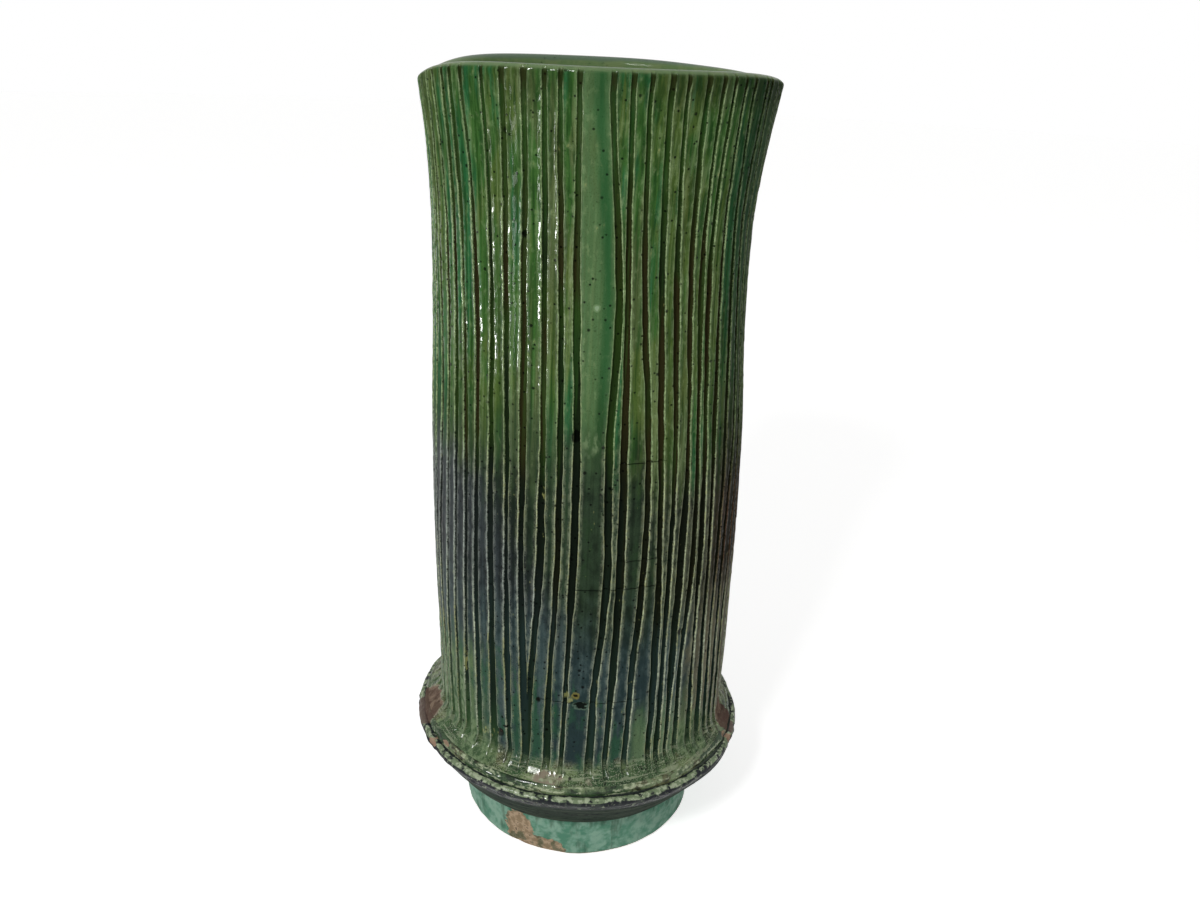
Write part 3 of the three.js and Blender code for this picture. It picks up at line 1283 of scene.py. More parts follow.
class Link:
    """A value that runs through a node tree, with the operators of ordinary arithmetic."""

    def __init__(self, nodes: "Nodes", socket: bpy.types.NodeSocket) -> None:
        """Wraps an output socket.

        Args:
            nodes: The tree that the socket belongs to.
            socket: The output.
        """
        self.nodes = nodes
        self.socket = socket

    def maths(self, operation: str, first: "Number", second: "Number" = 0.0) -> "Link":
        """Adds a Math node and returns its result."""
        return self.nodes.link("ShaderNodeMath", {"operation": operation}, {0: first, 1: second})

    def __add__(self, other: "Number") -> "Link":
        """Adds two values."""
        return self.maths("ADD", self, other)

    def __radd__(self, other: "Number") -> "Link":
        """Adds a number on the left."""
        return self.maths("ADD", other, self)

    def __sub__(self, other: "Number") -> "Link":
        """Takes a value off this one."""
        return self.maths("SUBTRACT", self, other)

    def __rsub__(self, other: "Number") -> "Link":
        """Takes this value off a number."""
        return self.maths("SUBTRACT", other, self)

    def __mul__(self, other: "Number") -> "Link":
        """Multiplies two values."""
        return self.maths("MULTIPLY", self, other)

    def __rmul__(self, other: "Number") -> "Link":
        """Multiplies a number on the left."""
        return self.maths("MULTIPLY", other, self)

    def larger(self, other: "Number") -> "Link":
        """The larger of two values."""
        return self.maths("MAXIMUM", self, other)

    def frayed(self, noise: "Link", width: float) -> "Link":
        """Moves the value by noise, by half the width either way, so that a step of it has a ragged edge."""
        return self + (noise - 0.5) * width

    def step(self, low: float, high: float) -> "Link":
        """Rises smoothly from 0 at low to 1 at high, or falls where high is below low."""
        start, end = (low, high) if low < high else (high, low)
        values = {0: self, 1: start, 2: end, 3: float(low >= high), 4: float(low < high)}
        return self.nodes.link("ShaderNodeMapRange", {"interpolation_type": "SMOOTHSTEP"}, values)


Number = Link | float


class Nodes:
    """Builds the nodes of a material or of the world."""

    def __init__(self, tree: bpy.types.NodeTree) -> None:
        """Empties a node tree and starts to fill it.

        Args:
            tree: The tree.
        """
        self.tree = tree
        tree.nodes.clear()

    def add(self, kind: str, settings: dict | None = None, values: dict | None = None) -> bpy.types.Node:
        """Adds a node.

        Args:
            kind: The node's type.
            settings: Its settings by name, which are set first.
            values: Values or links of its inputs, by number, name or identifier.

        Returns:
            The node.
        """
        node = self.tree.nodes.new(kind)
        for name, setting in (settings or {}).items():
            setattr(node, name, setting)
        for key, value in (values or {}).items():
            sockets = [s for s in node.inputs if key in (s.identifier, s.name)]
            socket = node.inputs[key] if isinstance(key, int) else sockets[0]
            if isinstance(value, Link):
                self.tree.links.new(value.socket, socket)
            else:
                socket.default_value = value.linear() if isinstance(value, Paint) else value
        return node

    def link(
        self, kind: str, settings: dict | None = None, values: dict | None = None, output: int = 0
    ) -> Link:
        """Adds a node as add does and returns one of its outputs."""
        return Link(self, self.add(kind, settings, values).outputs[output])

    def attribute(self, name: str) -> Link:
        """Reads an attribute of the mesh as a number."""
        return self.link("ShaderNodeAttribute", {"attribute_name": name}, output=2)

    def position(self) -> Link:
        """The place of a point in the object's own frame, in metres."""
        return self.link("ShaderNodeTexCoord", output=3)

    def along(self, axis: int) -> Link:
        """How far a point lies along an axis, from 0 for X to 2 for Z, in metres."""
        return self.link("ShaderNodeSeparateXYZ", values={0: self.position()}, output=axis)

    def noise(self, stretch: tuple[float, float, float], detail: float = 2.0, shift: float = 0.0) -> Link:
        """Smooth noise from 0 to 1.

        Args:
            stretch: How many patches it has to a metre, along each axis.
            detail: Number of finer layers.
            shift: Moves the pattern, for another one of the same kind.

        Returns:
            The noise.
        """
        values = {0: self.position(), 1: stretch, 2: (shift, shift, shift)}
        place = self.link("ShaderNodeVectorMath", {"operation": "MULTIPLY_ADD"}, values)
        return self.link("ShaderNodeTexNoise", values={"Vector": place, "Scale": 1.0, "Detail": detail})

    def pinholes(self, per_metre: float, size: float) -> Link:
        """Small round pits scattered over the glaze.

        Args:
            per_metre: How many cells the pits have to a metre.
            size: Radius of a pit as a share of its cell.

        Returns:
            1 in the middle of a pit and 0 outside.
        """
        distance = self.link("ShaderNodeTexVoronoi", values={"Vector": self.position(), "Scale": per_metre})
        return distance.step(size, size * 0.4)

    def mix(self, factor: Number, base: "Link | Paint", top: "Link | Paint") -> Link:
        """Lays one colour over another.

        Args:
            factor: How far the top colour covers the base.
            base: The colour below.
            top: The colour above.

        Returns:
            The mixed colour.
        """
        settings = {"data_type": "RGBA", "clamp_factor": True}
        values = {"Factor_Float": factor, "A_Color": base, "B_Color": top}
        node = self.add("ShaderNodeMix", settings, values)
        return Link(self, next(s for s in node.outputs if s.identifier == "Result_Color"))

    def coats(self, base: "Link | Paint", *coats: tuple[Number, "Link | Paint"]) -> "Link | Paint":
        """Lays colours over a base, one after another.

        Args:
            base: The colour below them all.
            coats: For each colour, how far it covers what is below it, and the colour.

        Returns:
            The mixed colour.
        """
        for factor, top in coats:
            base = self.mix(factor, base, top)
        return base

    def bump(self, height: Link, distance: float) -> Link:
        """Turns a height into a slope of the surface.

        Args:
            height: Height from 0 to 1.
            distance: What 1 stands for, in metres.

        Returns:
            The normal.
        """
        return self.link("ShaderNodeBump", values={"Strength": 1.0, "Distance": distance, "Height": height})

    def glossy_clay(self, colour: Link, roughness: Link, normal: Link, coat: Number) -> None:
        """Ends the material in a shader for glazed or bare clay, under a clear coat where it is wettest.

        Args:
            colour: Its colour.
            roughness: Its roughness.
            normal: Its normal.
            coat: How far the clear coat covers it.
        """
        shader = self.link(
            "ShaderNodeBsdfPrincipled",
            values={
                "Base Color": colour,
                "Roughness": roughness,
                "Normal": normal,
                "Specular IOR Level": 0.0,
                "Coat Weight": coat,
                "Coat Roughness": 0.08,
            },
        )
        self.add("ShaderNodeOutputMaterial", values={0: shader})


def new_material(name: str, kind: type[Nodes] = Nodes) -> tuple[bpy.types.Material, Nodes]:
    """Makes a material and the builder of its nodes.

    Args:
        name: The material's name.
        kind: Class of the builder.

    Returns:
        The material and the builder.
    """
    material = bpy.data.materials.new(name)
    material.use_nodes = True
    return material, kind(material.node_tree)


@dataclass(frozen=True)
class Blister:
    """A burst bubble or a slit in the glaze: an oval ring of one colour round a middle of another.

    Attributes:
        angle: Angle of its middle, in degrees from the front.
        height: Height of its middle, in millimetres.
        half_width: Half the width of the ring, in millimetres.
        half_height: Half its height.
        ring: Colour of the ring.
        middle: Colour of the middle.
        opening: Share of the ring's size that the middle takes up.
    """

    angle: float
    height: float
    half_width: float
    half_height: float
    ring: Paint
    middle: Paint
    opening: float = 0.6

    def lay(self, nodes: Nodes, profile: WallProfile, rough: Link, colour: Link) -> Link:
        """Lays the blister over a colour.

        Args:
            nodes: The material's nodes.
            profile: The wall that it lies on.
            rough: Noise that makes its edge uneven.
            colour: The colour below.

        Returns:
            The colour with the blister.
        """
        turn = math.radians(self.angle)
        radius = float(profile.rib_radius(self.height))
        across = float(profile.centre(self.height)) + radius * math.sin(turn)
        place = Vector((across, -radius * math.cos(turn), self.height)) * MM
        values = {0: nodes.position(), 1: place}
        offset = nodes.link("ShaderNodeVectorMath", {"operation": "SUBTRACT"}, values)
        shares = [1.0 / MM / size for size in (self.half_width, self.half_width, self.half_height)]
        offset = nodes.link("ShaderNodeVectorMath", {"operation": "MULTIPLY"}, {0: offset, 1: shares})
        distance = nodes.link("ShaderNodeVectorMath", {"operation": "LENGTH"}, {0: offset}, output=1)
        distance = distance + (rough - 0.5) * 1.1
        colour = nodes.mix(distance.step(1.3, 0.9) * 0.9, colour, self.ring)
        return nodes.mix(distance.step(self.opening + 0.12, self.opening - 0.12) * 0.95, colour, self.middle)


@dataclass(frozen=True)
class Glaze:
    """Paints that more than one of the vase's glazes has."""

    tarnish: Paint = Paint(98, 90, 62)
    mauve: Paint = Paint(112, 90, 82)
    inside: Paint = Paint(58, 82, 48)


class WallNodes(Nodes):
    """The nodes of the wall's glaze, with the patterns that it is mixed by."""

    def __init__(self, tree: bpy.types.NodeTree) -> None:
        """Adds the nodes of every pattern.

        Args:
            tree: The material's node tree.
        """
        super().__init__(tree)
        self.height = self.along(2)
        self.side = self.along(0)
        self.streak = self.noise((280.0, 280.0, 8.0), 3.0)
        self.thread = self.noise((900.0, 900.0, 22.0), 2.0, 4.0)
        self.strand = self.noise((460.0, 460.0, 6.0), 1.0, 23.0)
        self.cloud = self.noise((42.0, 42.0, 20.0), 2.0, 5.0)
        self.mottle = self.noise((170.0, 170.0, 120.0), 4.0, 2.0)
        self.fleck = self.noise((430.0, 430.0, 240.0), 3.0, 17.0)
        self.grain = self.noise((1700.0, 1700.0, 1400.0), 2.0, 8.0)
        self.beads = self.noise((500.0, 500.0, 560.0), 2.0, 11.0)
        self.holes = self.pinholes(250.0, 0.17).larger(self.pinholes(90.0, 0.1))
        self.pool = self.attribute("pool")
        self.tone = self.attribute("rib") * 0.5 + self.streak * 0.5
        cut = self.attribute("cut")
        self.outside = self.attribute("outer").step(0.02, 0.3)
        fade = self.attribute("fade") * self.outside
        worn = self.noise((70.0, 70.0, 36.0), 2.0, 20.0)
        self.groove = cut.frayed(self.grain, 0.2).frayed(self.mottle, 0.2).step(1.06, 0.84) * fade
        beside = self.attribute("beside").frayed(self.grain, 0.5)
        self.edge = beside.step(-0.3, 0.0) * beside.step(0.6, 0.15) * fade
        self.glow = beside.step(-0.1, 0.2) * beside.step(2.2, 0.3) * fade
        self.glow = self.glow * (self.fleck * 0.6 + self.grain * 0.4).step(0.4, 0.6)
        self.shoulder = cut.step(1.0, 1.2) * cut.step(2.1, 1.7) * fade
        across = self.attribute("across")
        # Painted light: on each half of the vase the rib edges that face the front are painted brighter than
        # those that face away.
        right = self.side.step(-0.03, 0.015)
        painted_lit_side = 0.62 + (right * across.step(0.55, 0.3) + (1.0 - right) * across.step(0.45, 0.7)) * 0.38
        # The cut edges are painted pale: partly glaze that runs thin there, partly painted highlight.
        self.edge_glaze_and_highlight = self.edge * (0.42 + self.beads.step(0.38, 0.6) * 0.54)
        self.edge_glaze_and_highlight = self.edge_glaze_and_highlight * painted_lit_side * (0.6 + worn.step(0.38, 0.56) * 0.4)


@dataclass(frozen=True)
class WallGlaze(Glaze):
    """The glaze of the wall: green above, slate blue and black-green in the middle and dark teal below.

    The edges of the cuts are painted pale, partly for glaze that runs thin there and partly as painted
    highlight, and the glaze pools dark in the cuts.
    """

    forest: Paint = Paint(26, 62, 22)
    shade: Paint = Paint(22, 42, 16)
    leaf: Paint = Paint(64, 106, 48)
    olive: Paint = Paint(92, 110, 52)
    sea: Paint = Paint(42, 108, 64)
    stone: Paint = Paint(88, 104, 62)
    sage: Paint = Paint(106, 132, 86)
    khaki: Paint = Paint(42, 70, 28)
    moss: Paint = Paint(44, 66, 26)
    umber: Paint = Paint(50, 42, 24)
    pale_edge: Paint = Paint(186, 212, 152)
    lip: Paint = Paint(118, 138, 92)
    # Painted reflection along the top of the inner rim.
    painted_rim_reflection: Paint = Paint(98, 120, 96)
    run: Paint = Paint(22, 88, 44)
    run_end: Paint = Paint(14, 46, 14)
    slate: Paint = Paint(58, 66, 68)
    dusk: Paint = Paint(34, 40, 42)
    bottle: Paint = Paint(52, 70, 50)
    glade: Paint = Paint(42, 70, 38)
    night: Paint = Paint(30, 42, 30)
    tan: Paint = Paint(62, 66, 46)
    russet: Paint = Paint(70, 54, 40)
    bark: Paint = Paint(30, 30, 16)
    ink: Paint = Paint(22, 30, 22)
    slate_edge: Paint = Paint(196, 208, 196)
    rust_edge: Paint = Paint(118, 92, 70)
    lime_edge: Paint = Paint(224, 236, 192)
    deep: Paint = Paint(44, 62, 63)
    teal: Paint = Paint(75, 93, 92)
    meadow: Paint = Paint(64, 108, 66)
    verdant: Paint = Paint(46, 90, 62)
    beige: Paint = Paint(112, 108, 84)
    pine: Paint = Paint(32, 46, 36)
    fern: Paint = Paint(60, 92, 54)
    straw: Paint = Paint(222, 234, 202)
    pale_green: Paint = Paint(124, 148, 106)
    pale_moss: Paint = Paint(66, 96, 58)
    brim: Paint = Paint(130, 150, 100)
    brim_dark: Paint = Paint(44, 54, 36)
    brim_pale: Paint = Paint(176, 184, 152)
    clay: Paint = Paint(150, 128, 112)
    blush: Paint = Paint(152, 140, 122)
    gold: Paint = Paint(178, 180, 112)
    black: Paint = Paint(5, 8, 6)

    BLISTERS = (
        Blister(-0.9, 118.6, 1.9, 2.1, Paint(134, 126, 66), Paint(16, 18, 12), 0.6),
        # The slit's light teal ring is a painted highlight round its edge.
        Blister(1.0, 112.4, 4.2, 2.0, Paint(96, 120, 104), Paint(4, 6, 5), 0.82),
        Blister(3.4, 320.0, 1.5, 1.6, Paint(120, 152, 104), Paint(150, 176, 140)),
        Blister(-2.2, 261.5, 0.9, 1.3, Paint(12, 18, 8), Paint(176, 200, 170)),
        Blister(-2.6, 256.0, 0.7, 3.0, Paint(16, 22, 12), Paint(8, 12, 6)),
        Blister(-20.7, 350.0, 1.2, 1.3, Paint(10, 14, 8), Paint(190, 204, 190)),
        Blister(-29.5, 86.0, 1.4, 1.4, Paint(30, 26, 18), Paint(170, 140, 124), 0.5),
        Blister(-27.2, 90.5, 1.8, 0.7, Paint(20, 24, 16), Paint(6, 8, 6)),
        Blister(-14.4, 113.0, 1.2, 1.0, Paint(20, 24, 16), Paint(6, 8, 6)),
        Blister(-27.4, 393.0, 1.1, 1.2, Paint(16, 34, 10), Paint(12, 24, 8)),
        Blister(38.0, 148.0, 1.2, 1.4, Paint(20, 26, 14), Paint(150, 156, 120)),
    )

    def green_zone(self, wall: WallNodes) -> Link:
        """The upper part of the wall: leaf green ribs with runs of sea green over moss and umber pools.

        Args:
            wall: The wall's nodes.

        Returns:
            The colour.
        """
        rib = wall.coats(
            self.stone,
            (wall.tone.step(0.36, 0.46), self.leaf),
            (wall.cloud.step(0.46, 0.58) * 0.7, self.olive),
            (wall.tone.step(0.51, 0.6) * 0.9, self.sea),
            (wall.thread.step(0.46, 0.62) * 0.5, self.forest),
            (wall.strand.step(0.52, 0.72) * 0.16, self.pale_edge),
            (wall.strand.step(0.5, 0.32) * 0.55, self.forest),
            (wall.attribute("wide") * 0.62, self.sage),
            (wall.glow * 0.15, self.pale_edge),
            (wall.fleck.step(0.55, 0.7) * 0.12, self.pale_edge),
            (wall.grain.step(0.54, 0.7) * 0.35, self.moss),
        )
        high = wall.height.frayed(wall.cloud, 0.06).step(0.33, 0.39)
        warm = wall.side.step(0.004, 0.03) * wall.height.step(0.37, 0.32) * 0.22
        brown = (wall.pool + warm).frayed(wall.streak, 0.5).step(0.42, 0.62) * (1.0 - high * 0.7)
        black = (1.0 - wall.pool).step(0.62, 0.8) * (1.0 - high)
        pool = wall.coats(
            self.moss,
            (high, self.khaki),
            (brown * 0.85, self.umber),
            (black * 0.7, self.ink),
            (wall.streak.step(0.5, 0.7) * 0.4, self.leaf),
        )
        run = (wall.attribute("run") * (0.55 + wall.streak * 0.9)).step(0.05, 1.1)
        vivid = wall.mix(wall.height.step(0.3, 0.24), self.run, self.run_end)
        dusky = wall.height.frayed(wall.cloud, 0.04).step(0.284, 0.246)
        dusky = dusky * wall.side.step(0.014, -0.012) * (1.0 - wall.groove)
        # Painted shade: the right limb of the upper wall, the side away from the key lamp, is darkened.
        painted_limb_shade = wall.side.frayed(wall.streak, 0.02).step(0.052, 0.068)
        # Painted shade: a darker band just under the flared lip, stronger at the right.
        painted_lip_shade = wall.height.frayed(wall.mottle, 0.008).step(0.4, 0.412)
        # Pale edges: partly thin glaze, partly painted highlight.
        edge_glaze_and_highlight = wall.edge_glaze_and_highlight * (1.0 - high * 0.3) * wall.height.step(0.417, 0.411)
        return wall.coats(
            rib,
            (wall.groove * (1.0 - high * 0.2), pool),
            (run * (1.0 - wall.groove) * 0.72, vivid),
            (dusky * 0.55, self.bottle),
            (painted_limb_shade * 0.6, self.shade),
            (painted_lip_shade * (0.2 + wall.side.step(0.02, 0.04) * 0.35), self.shade),
            (edge_glaze_and_highlight * (1.0 - painted_limb_shade * 0.5), self.pale_edge),
        )

    def middle_zone(self, wall: WallNodes) -> Link:
        """The band below the green: slate at the left, black-green in front and brown at the right.

        Args:
            wall: The wall's nodes.

        Returns:
            The colour.
        """
        shift = (wall.height - 0.19) * 0.6
        left = (wall.side + shift).frayed(wall.mottle, 0.03).step(-0.012, -0.042)
        right = wall.side.frayed(wall.mottle, 0.03).step(0.028, 0.06)
        limb = wall.side.frayed(wall.fleck, 0.008).step(0.06, 0.072)
        light = wall.tone * 0.5 + wall.strand * 0.25 + wall.fleck * 0.2 + wall.mottle * 0.4
        light = (light + wall.cloud * 0.25).step(0.68, 0.92)
        # Edge colours: partly thin glaze, partly painted highlight.
        edge = wall.coats(
            self.lime_edge,
            (wall.beads.step(0.5, 0.62) * 0.6, self.gold),
            (left, self.slate_edge),
            (limb, self.rust_edge),
        )
        rib = wall.coats(
            self.night,
            (light, self.bottle),
            ((wall.cloud + wall.fleck * 0.3).step(0.76, 0.88) * 0.55, self.glade),
            (left, wall.mix(light, self.dusk, self.slate)),
            (right, wall.mix(light, self.bark, self.tan)),
            (wall.thread.step(0.5, 0.68) * 0.4, self.night),
            (limb, wall.mix(light, self.bark, self.russet)),
            (wall.glow * (1.0 - limb) * 0.22, edge),
            (wall.grain.step(0.46, 0.34) * 0.35, self.ink),
        )
        pool = wall.coats(
            self.ink,
            (wall.streak.step(0.4, 0.66) * 0.8, self.night),
            ((wall.pool + wall.streak - 0.5).step(0.55, 0.75) * 0.6, self.bark),
            (right * 0.4, self.bark),
            (left * 0.5, self.dusk),
        )
        return wall.coats(rib, (wall.groove, pool), (wall.edge_glaze_and_highlight, edge))

    def lower_zone(self, wall: WallNodes) -> Link:
        """The foot of the wall: dark teal with greener patches, and beige ribs at the right, partly a
        painted sheen.

        Args:
            wall: The wall's nodes.

        Returns:
            The colour.
        """
        light = wall.tone * 0.5 + wall.strand * 0.2 + wall.fleck * 0.2 + wall.mottle * 0.4
        drift = wall.cloud * 0.6 + wall.mottle * 0.4
        low = wall.height.frayed(wall.strand, 0.06).step(0.132, 0.092)
        side = wall.side.frayed(wall.mottle, 0.02)
        height = wall.height.frayed(wall.mottle, 0.02)
        left = side.step(-0.046, -0.06) * height.step(0.142, 0.118)
        lime = wall.side.step(0.027, 0.031) * height.step(0.118, 0.09)
        # Edge colours: partly thin glaze, partly painted highlight.
        edge = wall.mix((drift + wall.beads * 0.3).step(0.62, 0.74) * 0.7, self.straw, self.gold)
        rib = wall.coats(
            self.deep,
            ((light + wall.cloud * 0.3).step(0.7, 0.94), self.teal),
            ((drift + low * 0.16).step(0.56, 0.68) * 0.75, self.verdant),
            (left * 0.85, wall.mix(drift.step(0.46, 0.58), self.sage, self.meadow)),
            (lime * 0.6, self.pale_green),
            # The beige at the right limb is partly the glaze's colour and partly a painted sheen.
            (side.step(0.05, 0.066), self.beige),
            (wall.thread.step(0.5, 0.68) * 0.4, self.deep),
            (wall.glow * 0.2, edge),
            (wall.grain.step(0.46, 0.34) * 0.35, self.pine),
        )
        shallow = wall.height.step(0.112, 0.08) * (0.15 + wall.side.step(-0.03, -0.06) * 0.6)
        pool = wall.coats(
            self.pine, (wall.streak.step(0.4, 0.66) * 0.6, self.deep), (shallow, self.fern)
        )
        return wall.coats(rib, (wall.groove, pool), (wall.edge_glaze_and_highlight, edge))

    def skirt(self, wall: WallNodes, colour: Link) -> Link:
        """Lays the pale mottled glaze over the sweep at the wall's foot.

        Args:
            wall: The wall's nodes.
            colour: The colour below.

        Returns:
            The colour.
        """
        lines = wall.noise((60.0, 60.0, 900.0), 3.0, 14.0)
        skirt = wall.coats(
            self.brim,
            (wall.cloud.step(0.44, 0.56), self.fern),
            ((wall.cloud + wall.mottle - 0.5).step(0.42, 0.32) * 0.7, self.tarnish),
            ((wall.fleck * 0.7 + wall.grain * 0.3).step(0.5, 0.4) * 0.75, self.brim_dark),
            (lines.step(0.46, 0.38) * 0.4, self.brim_dark),
            (lines.step(0.54, 0.62) * 0.6, self.brim_pale),
            (wall.grain.step(0.54, 0.62) * 0.6, self.brim_pale),
        )
        low = wall.height.frayed(wall.mottle, 0.014).step(0.078, 0.071)
        return wall.mix(low * (1.0 - wall.groove * 0.35) * 0.9, colour, skirt)

    def marks(self, wall: WallNodes, colour: Link) -> Link:
        """Lays the patches and pits over the glaze.

        Args:
            wall: The wall's nodes.
            colour: The colour below.

        Returns:
            The colour.
        """
        pale = wall.attribute("pale").frayed(wall.mottle, 1.4).step(0.3, 0.8)
        pale = pale * ((1.0 - wall.groove * 0.75) * (1.0 - wall.edge * 0.5))
        soft = wall.mix(wall.fleck.step(0.38, 0.62), self.pale_moss, self.pale_green)
        ragged = wall.attribute("bare").frayed(wall.mottle, 0.9)
        bare = ragged.step(0.42, 0.56)
        rim = bare * (1.0 - ragged.step(0.56, 0.7))
        body = wall.coats(
            self.mauve,
            (wall.streak.step(0.4, 0.6), self.clay),
            (wall.attribute("bare").step(0.7, 0.6), self.blush),
            (rim * wall.beads.step(0.46, 0.54), self.brim_pale),
        )
        gold = wall.attribute("gold").frayed(wall.fleck, 2.6).step(0.5, 0.9)
        dark = wall.attribute("pit").step(0.35, 0.9).larger(wall.holes).larger(wall.attribute("crack"))
        return wall.coats(
            colour,
            (pale * 0.8, soft),
            (bare * 0.92, body),
            (gold * 0.6, self.gold),
            (dark * 0.85, self.black),
        )

    def mouth(self, wall: WallNodes, colour: Link) -> Link:
        """Lays the lip's glaze over the outside's, and gives the inside its own, paler towards the mouth
        partly as painted light, with a painted reflection along the top of the inner rim.

        Args:
            wall: The wall's nodes.
            colour: The colour below.

        Returns:
            The colour.
        """
        rolled = wall.mix(wall.mottle.step(0.4, 0.6), self.lip, self.sage)
        notch = wall.groove * wall.height.frayed(wall.beads, 0.008).step(0.409, 0.415)
        outside = wall.coats(colour, (notch * 0.5, self.umber), (wall.attribute("lip") * 0.9, rolled))
        lining = wall.coats(
            self.inside,
            (wall.mottle.step(0.3, 0.7), self.leaf),
            # Paler towards the mouth and darker deeper in: partly the glaze's colour, partly painted light.
            (wall.height.step(0.36, 0.41), rolled),
            # Painted reflection: a grey-green band along the top of the inner rim.
            (wall.height.frayed(wall.cloud, 0.003).step(0.4165, 0.4185), self.painted_rim_reflection),
        )
        return wall.mix(wall.outside, lining, outside)

    def wetness(self, wall: WallNodes, bare: Link) -> Link:
        """How far a clear coat covers the glaze: beside the cuts, low on the wall and on the lip.

        Args:
            wall: The wall's nodes.
            bare: Where the clay is bare.

        Returns:
            The weight of the coat.
        """
        runny = wall.side.step(0.0, -0.02) * wall.height.step(0.27, 0.295)
        runny = runny * wall.height.step(0.375, 0.345)
        wet = wall.shoulder * wall.beads.step(0.42, 0.52) * (0.2 + runny * 0.8) + 0.05
        wet = wet + wall.side.step(-0.03, -0.08) * wall.height.step(0.26, 0.22) * 0.15
        wet = wet + wall.height.step(0.082, 0.07) * 0.2 + wall.attribute("lip") * 0.4
        return wet * (1.0 - bare) * (1.0 - wall.groove * 0.8)

    def material(self, profile: WallProfile) -> bpy.types.Material:
        """Builds the material.

        Args:
            profile: The wall that it covers.

        Returns:
            The material.
        """
        material, wall = new_material("wall_glaze", WallNodes)
        ragged = (wall.streak - 0.5) * 1.6 + (wall.mottle - 0.5) * 1.2
        green, teal = ((wall.attribute(name) + ragged).step(-1.0, 1.0) for name in ("green", "teal"))
        colour = wall.mix(teal, self.middle_zone(wall), self.lower_zone(wall))
        colour = wall.mix(green, colour, self.green_zone(wall))
        colour = self.marks(wall, self.skirt(wall, colour))
        for blister in self.BLISTERS:
            colour = blister.lay(wall, profile, wall.beads, colour)
        colour = self.mouth(wall, colour)
        skin = wall.mottle * 0.5 + wall.strand * 0.3 + wall.fleck * 0.15 + wall.grain * 0.12
        normal = wall.bump(skin - wall.holes * 0.7 + wall.edge * wall.beads * 1.2, 0.0006)
        bare = wall.attribute("bare").step(0.4, 0.8)
        roughness = 0.1 + wall.grain * 0.14 + bare * 0.35
        wall.glossy_clay(colour, roughness, normal, self.wetness(wall, bare))
        return material


@dataclass(frozen=True)
class CollarGlaze(Glaze):
    """The mottled yellow-green glaze of the collar's upper ridge, lined by the hand that pressed it on."""

    green: Paint = Paint(128, 146, 106)
    fern: Paint = Paint(66, 92, 60)
    straw: Paint = Paint(196, 206, 170)
    dark: Paint = Paint(34, 44, 34)
    clay: Paint = Paint(176, 148, 126)

    def material(self) -> bpy.types.Material:
        """Builds the material.

        Returns:
            The material.
        """
        material, nodes = new_material("collar_glaze")
        mottle = nodes.noise((190.0, 190.0, 260.0), 4.0, 3.0)
        cloud = nodes.noise((52.0, 52.0, 60.0), 2.0, 5.0)
        lines = nodes.noise((50.0, 50.0, 700.0), 3.0, 14.0)
        specks = nodes.noise((430.0, 430.0, 520.0), 4.0, 6.0)
        grain = nodes.noise((900.0, 900.0, 900.0), 2.0, 8.0)
        bare = nodes.attribute("bare").frayed(mottle, 0.9).step(0.42, 0.56)
        chip = nodes.attribute("chip").frayed(specks, 1.6).step(0.5, 0.7)
        colour = nodes.coats(
            self.green,
            (cloud.step(0.44, 0.56), self.fern),
            ((cloud + mottle - 0.5).step(0.42, 0.32) * 0.7, self.tarnish),
            ((mottle * 0.4 + specks * 0.3 + lines * 0.3).step(0.5, 0.4) * 0.85, self.dark),
            ((specks * 0.5 + lines * 0.5).step(0.52, 0.6) * 0.8, self.straw),
            (grain.step(0.46, 0.34) * 0.5, self.dark),
            (bare * 0.9, self.mauve),
            (chip * 0.85, self.clay),
        )
        normal = nodes.bump(specks * 1.2 + grain * 0.4 + lines * 0.5, 0.0007)
        nodes.glossy_clay(colour, 0.12 + grain * 0.2 + chip * 0.4, normal, (1.0 - chip.larger(bare)) * 0.45)
        return material


@dataclass(frozen=True)
class BaseGlaze(Glaze):
    """The dark streaked glaze of the underside, and the pitted ridge above it."""

    umber: Paint = Paint(66, 76, 68)
    olive: Paint = Paint(86, 96, 84)
    ink: Paint = Paint(30, 34, 40)
    green: Paint = Paint(130, 148, 114)
    straw: Paint = Paint(190, 202, 170)
    clay: Paint = Paint(184, 152, 130)

    def material(self) -> bpy.types.Material:
        """Builds the material.

        Returns:
            The material.
        """
        material, nodes = new_material("base_glaze")
        bands = nodes.noise((30.0, 30.0, 520.0), 3.0)
        mottle = nodes.noise((190.0, 190.0, 240.0), 4.0, 3.0)
        specks = nodes.noise((430.0, 430.0, 430.0), 4.0, 6.0)
        grain = nodes.noise((900.0, 900.0, 900.0), 2.0, 8.0)
        spots = mottle * 0.5 + specks * 0.5
        under = nodes.coats(
            self.umber,
            (bands.step(0.46, 0.62) * (0.5 + mottle), self.olive),
            (mottle.step(0.52, 0.7) * 0.5, self.ink),
        )
        ridge = nodes.coats(
            self.ink, (spots.step(0.46, 0.6) * 0.6, self.umber), (specks.step(0.58, 0.7) * 0.45, self.straw)
        )
        crest = nodes.coats(
            self.ink, (spots.step(0.4, 0.5), self.green), (specks.step(0.5, 0.58) * 0.85, self.straw)
        )
        on_ridge = nodes.attribute("ridge")
        bare = nodes.attribute("bare").frayed(mottle, 0.9).step(0.42, 0.56)
        chip = nodes.attribute("chip").frayed(specks, 1.6).step(0.5, 0.7)
        outside = nodes.coats(
            under,
            (on_ridge, ridge),
            (nodes.attribute("crest").frayed(mottle, 0.9).step(0.4, 0.7), crest),
            (bare * on_ridge * 0.9, self.mauve),
            (chip * 0.85, self.clay),
        )
        colour = nodes.mix(nodes.attribute("outer"), self.inside, outside)
        normal = nodes.bump(specks * 1.2 + grain * 0.4 + bands * 0.4, 0.0007)
        coat = (0.03 + on_ridge * 0.3) * (1.0 - chip)
        nodes.glossy_clay(colour, 0.14 + grain * 0.2 + chip * 0.35, normal, coat)
        return material


